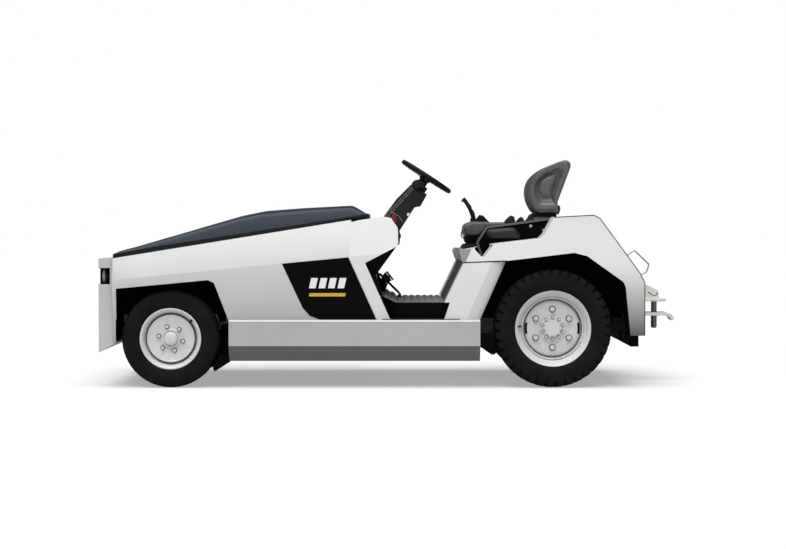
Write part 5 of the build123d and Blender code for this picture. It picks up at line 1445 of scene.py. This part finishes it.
class TUG_OT_stage(bpy.types.Operator):
    """Stage: a pale floor, an even sky, two soft lights and the camera"""
    bl_idname = "tug.stage"
    bl_label = "Stage"

    FLOOR_HALF = 60.0
    SENSOR, FOCAL_PIXELS, WIDE_PIXELS = 36.0, 1900.0, 786.0
    CAMERA_X, CAMERA_DOWN = 0.008, radians(1.402)

    def broad_light(self, name, strength, angle, lean, turn):
        """A light from one direction that covers a wide angle, so its shadows are soft."""
        data = bpy.data.lights.new(name, "SUN")
        data.energy, data.angle = strength, angle
        light = bpy.data.objects.new(name, data)
        light.rotation_euler = (-lean, turn, 0.0)
        light.location = (0.0, 3.0, 6.0)
        bpy.context.scene.collection.objects.link(light)

    def sky(self, scene):
        """An even sky that lights the tug softly and looks white to the camera."""
        world = bpy.data.worlds.new("studio")
        world.use_nodes = True
        tree = world.node_tree
        mix = tree.nodes.new("ShaderNodeMixShader")
        path = tree.nodes.new("ShaderNodeLightPath")
        tree.links.new(path.outputs["Is Camera Ray"], mix.inputs["Fac"])
        seen = tree.nodes.new("ShaderNodeBackground")
        for k, back, tone, strength in (
                (1, tree.nodes["Background"], (0.97, 0.98, 1.0, 1.0), scene.tug_stage.sky),
                (2, seen, (1.0, 1.0, 1.0, 1.0), 1.0)):
            back.inputs["Color"].default_value = tone
            back.inputs["Strength"].default_value = strength
            tree.links.new(back.outputs["Background"], mix.inputs[k])
        tree.links.new(mix.outputs["Shader"], tree.nodes["World Output"].inputs["Surface"])
        scene.world = world

    def floor(self, scene):
        """A square floor, pale to the camera and darker as a light source."""
        mesh = bpy.data.meshes.new("studio_floor")
        r = self.FLOOR_HALF
        mesh.from_pydata([(-r, -r, 0), (r, -r, 0), (r, r, 0), (-r, r, 0)], [], [(0, 1, 2, 3)])
        floor = bpy.data.objects.new("studio_floor", mesh)
        scene.collection.objects.link(floor)
        finish = Finish("studio_floor")
        seen = finish.node("LightPath", "Is Camera Ray", {})
        finish.feed({"Base Color": (0.48, 0.48, 0.48, 1.0), "Emission Color": (1.0, 1.0, 1.0, 1.0),
                     "Emission Strength": finish.spread(seen, 0.0, 1.0, 0.05, 0.36),
                     "Roughness": 0.9, "Specular IOR Level": 0.1})
        mesh.materials.append(finish.material)

    def camera(self, scene):
        """The photograph's view: straight at the left side, from far off and a little down."""
        camera = bpy.data.cameras.new("camera")
        camera.sensor_width = self.SENSOR
        camera.lens = self.SENSOR * self.FOCAL_PIXELS / self.WIDE_PIXELS
        camera.clip_end = 200.0
        view = bpy.data.objects.new("camera", camera)
        view.location = (self.CAMERA_X, scene.tug_stage.camera_back, scene.tug_stage.camera_height)
        view.rotation_euler = (radians(90.0) - self.CAMERA_DOWN, 0.0, radians(180.0))
        scene.collection.objects.link(view)
        scene.camera = view

    def execute(self, context):
        stage = context.scene.tug_stage
        self.sky(context.scene)
        self.floor(context.scene)
        self.broad_light("top_light", stage.top, stage.spread, stage.lean, radians(6.0))
        self.broad_light("fill_light", stage.fill, radians(60.0), radians(66.0), radians(-4.0))
        self.camera(context.scene)
        context.scene.view_settings.view_transform = "Standard"
        return {"FINISHED"}


PIECES = (TUG_OT_panels, TUG_OT_plain, TUG_OT_hood, TUG_OT_wheels, TUG_OT_steering, TUG_OT_column,
          TUG_OT_seat, TUG_OT_lamps, TUG_OT_floor, TUG_OT_trim, TUG_OT_rear_side,
          TUG_OT_stripes, TUG_OT_stage)


class TUG_PT_panel(bpy.types.Panel):
    """Lists the tug's pieces and settings"""
    bl_idname = "TUG_PT_panel"
    bl_label = "Baggage tug"
    bl_space_type = "VIEW_3D"
    bl_region_type = "UI"
    bl_category = "Baggage tug"

    def draw(self, context):
        layout = self.layout
        for operator in PIECES:
            layout.operator(operator.bl_idname)
        for group in ("tug_colours", "tug_sizes", "tug_stage"):
            values = getattr(context.scene, group)
            box = layout.box()
            for name in values.__class__.__annotations__:
                box.prop(values, name)


CLASSES = (TugColours, TugSizes, TugStage) + PIECES + (TUG_PT_panel,)


def register():
    """Makes the classes and the scene's settings known."""
    for item in CLASSES:
        bpy.utils.register_class(item)
    bpy.types.Scene.tug_colours = PointerProperty(type=TugColours)
    bpy.types.Scene.tug_sizes = PointerProperty(type=TugSizes)
    bpy.types.Scene.tug_stage = PointerProperty(type=TugStage)


def unregister():
    """Takes back what register did."""
    del bpy.types.Scene.tug_stage, bpy.types.Scene.tug_sizes, bpy.types.Scene.tug_colours
    for item in reversed(CLASSES):
        bpy.utils.unregister_class(item)


def main():
    """Registers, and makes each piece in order."""
    register()
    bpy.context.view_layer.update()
    make_finishes()
    for operator in PIECES:
        group, name = operator.bl_idname.split(".")
        getattr(getattr(bpy.ops, group), name)()


if __name__ == "__main__":
    main()
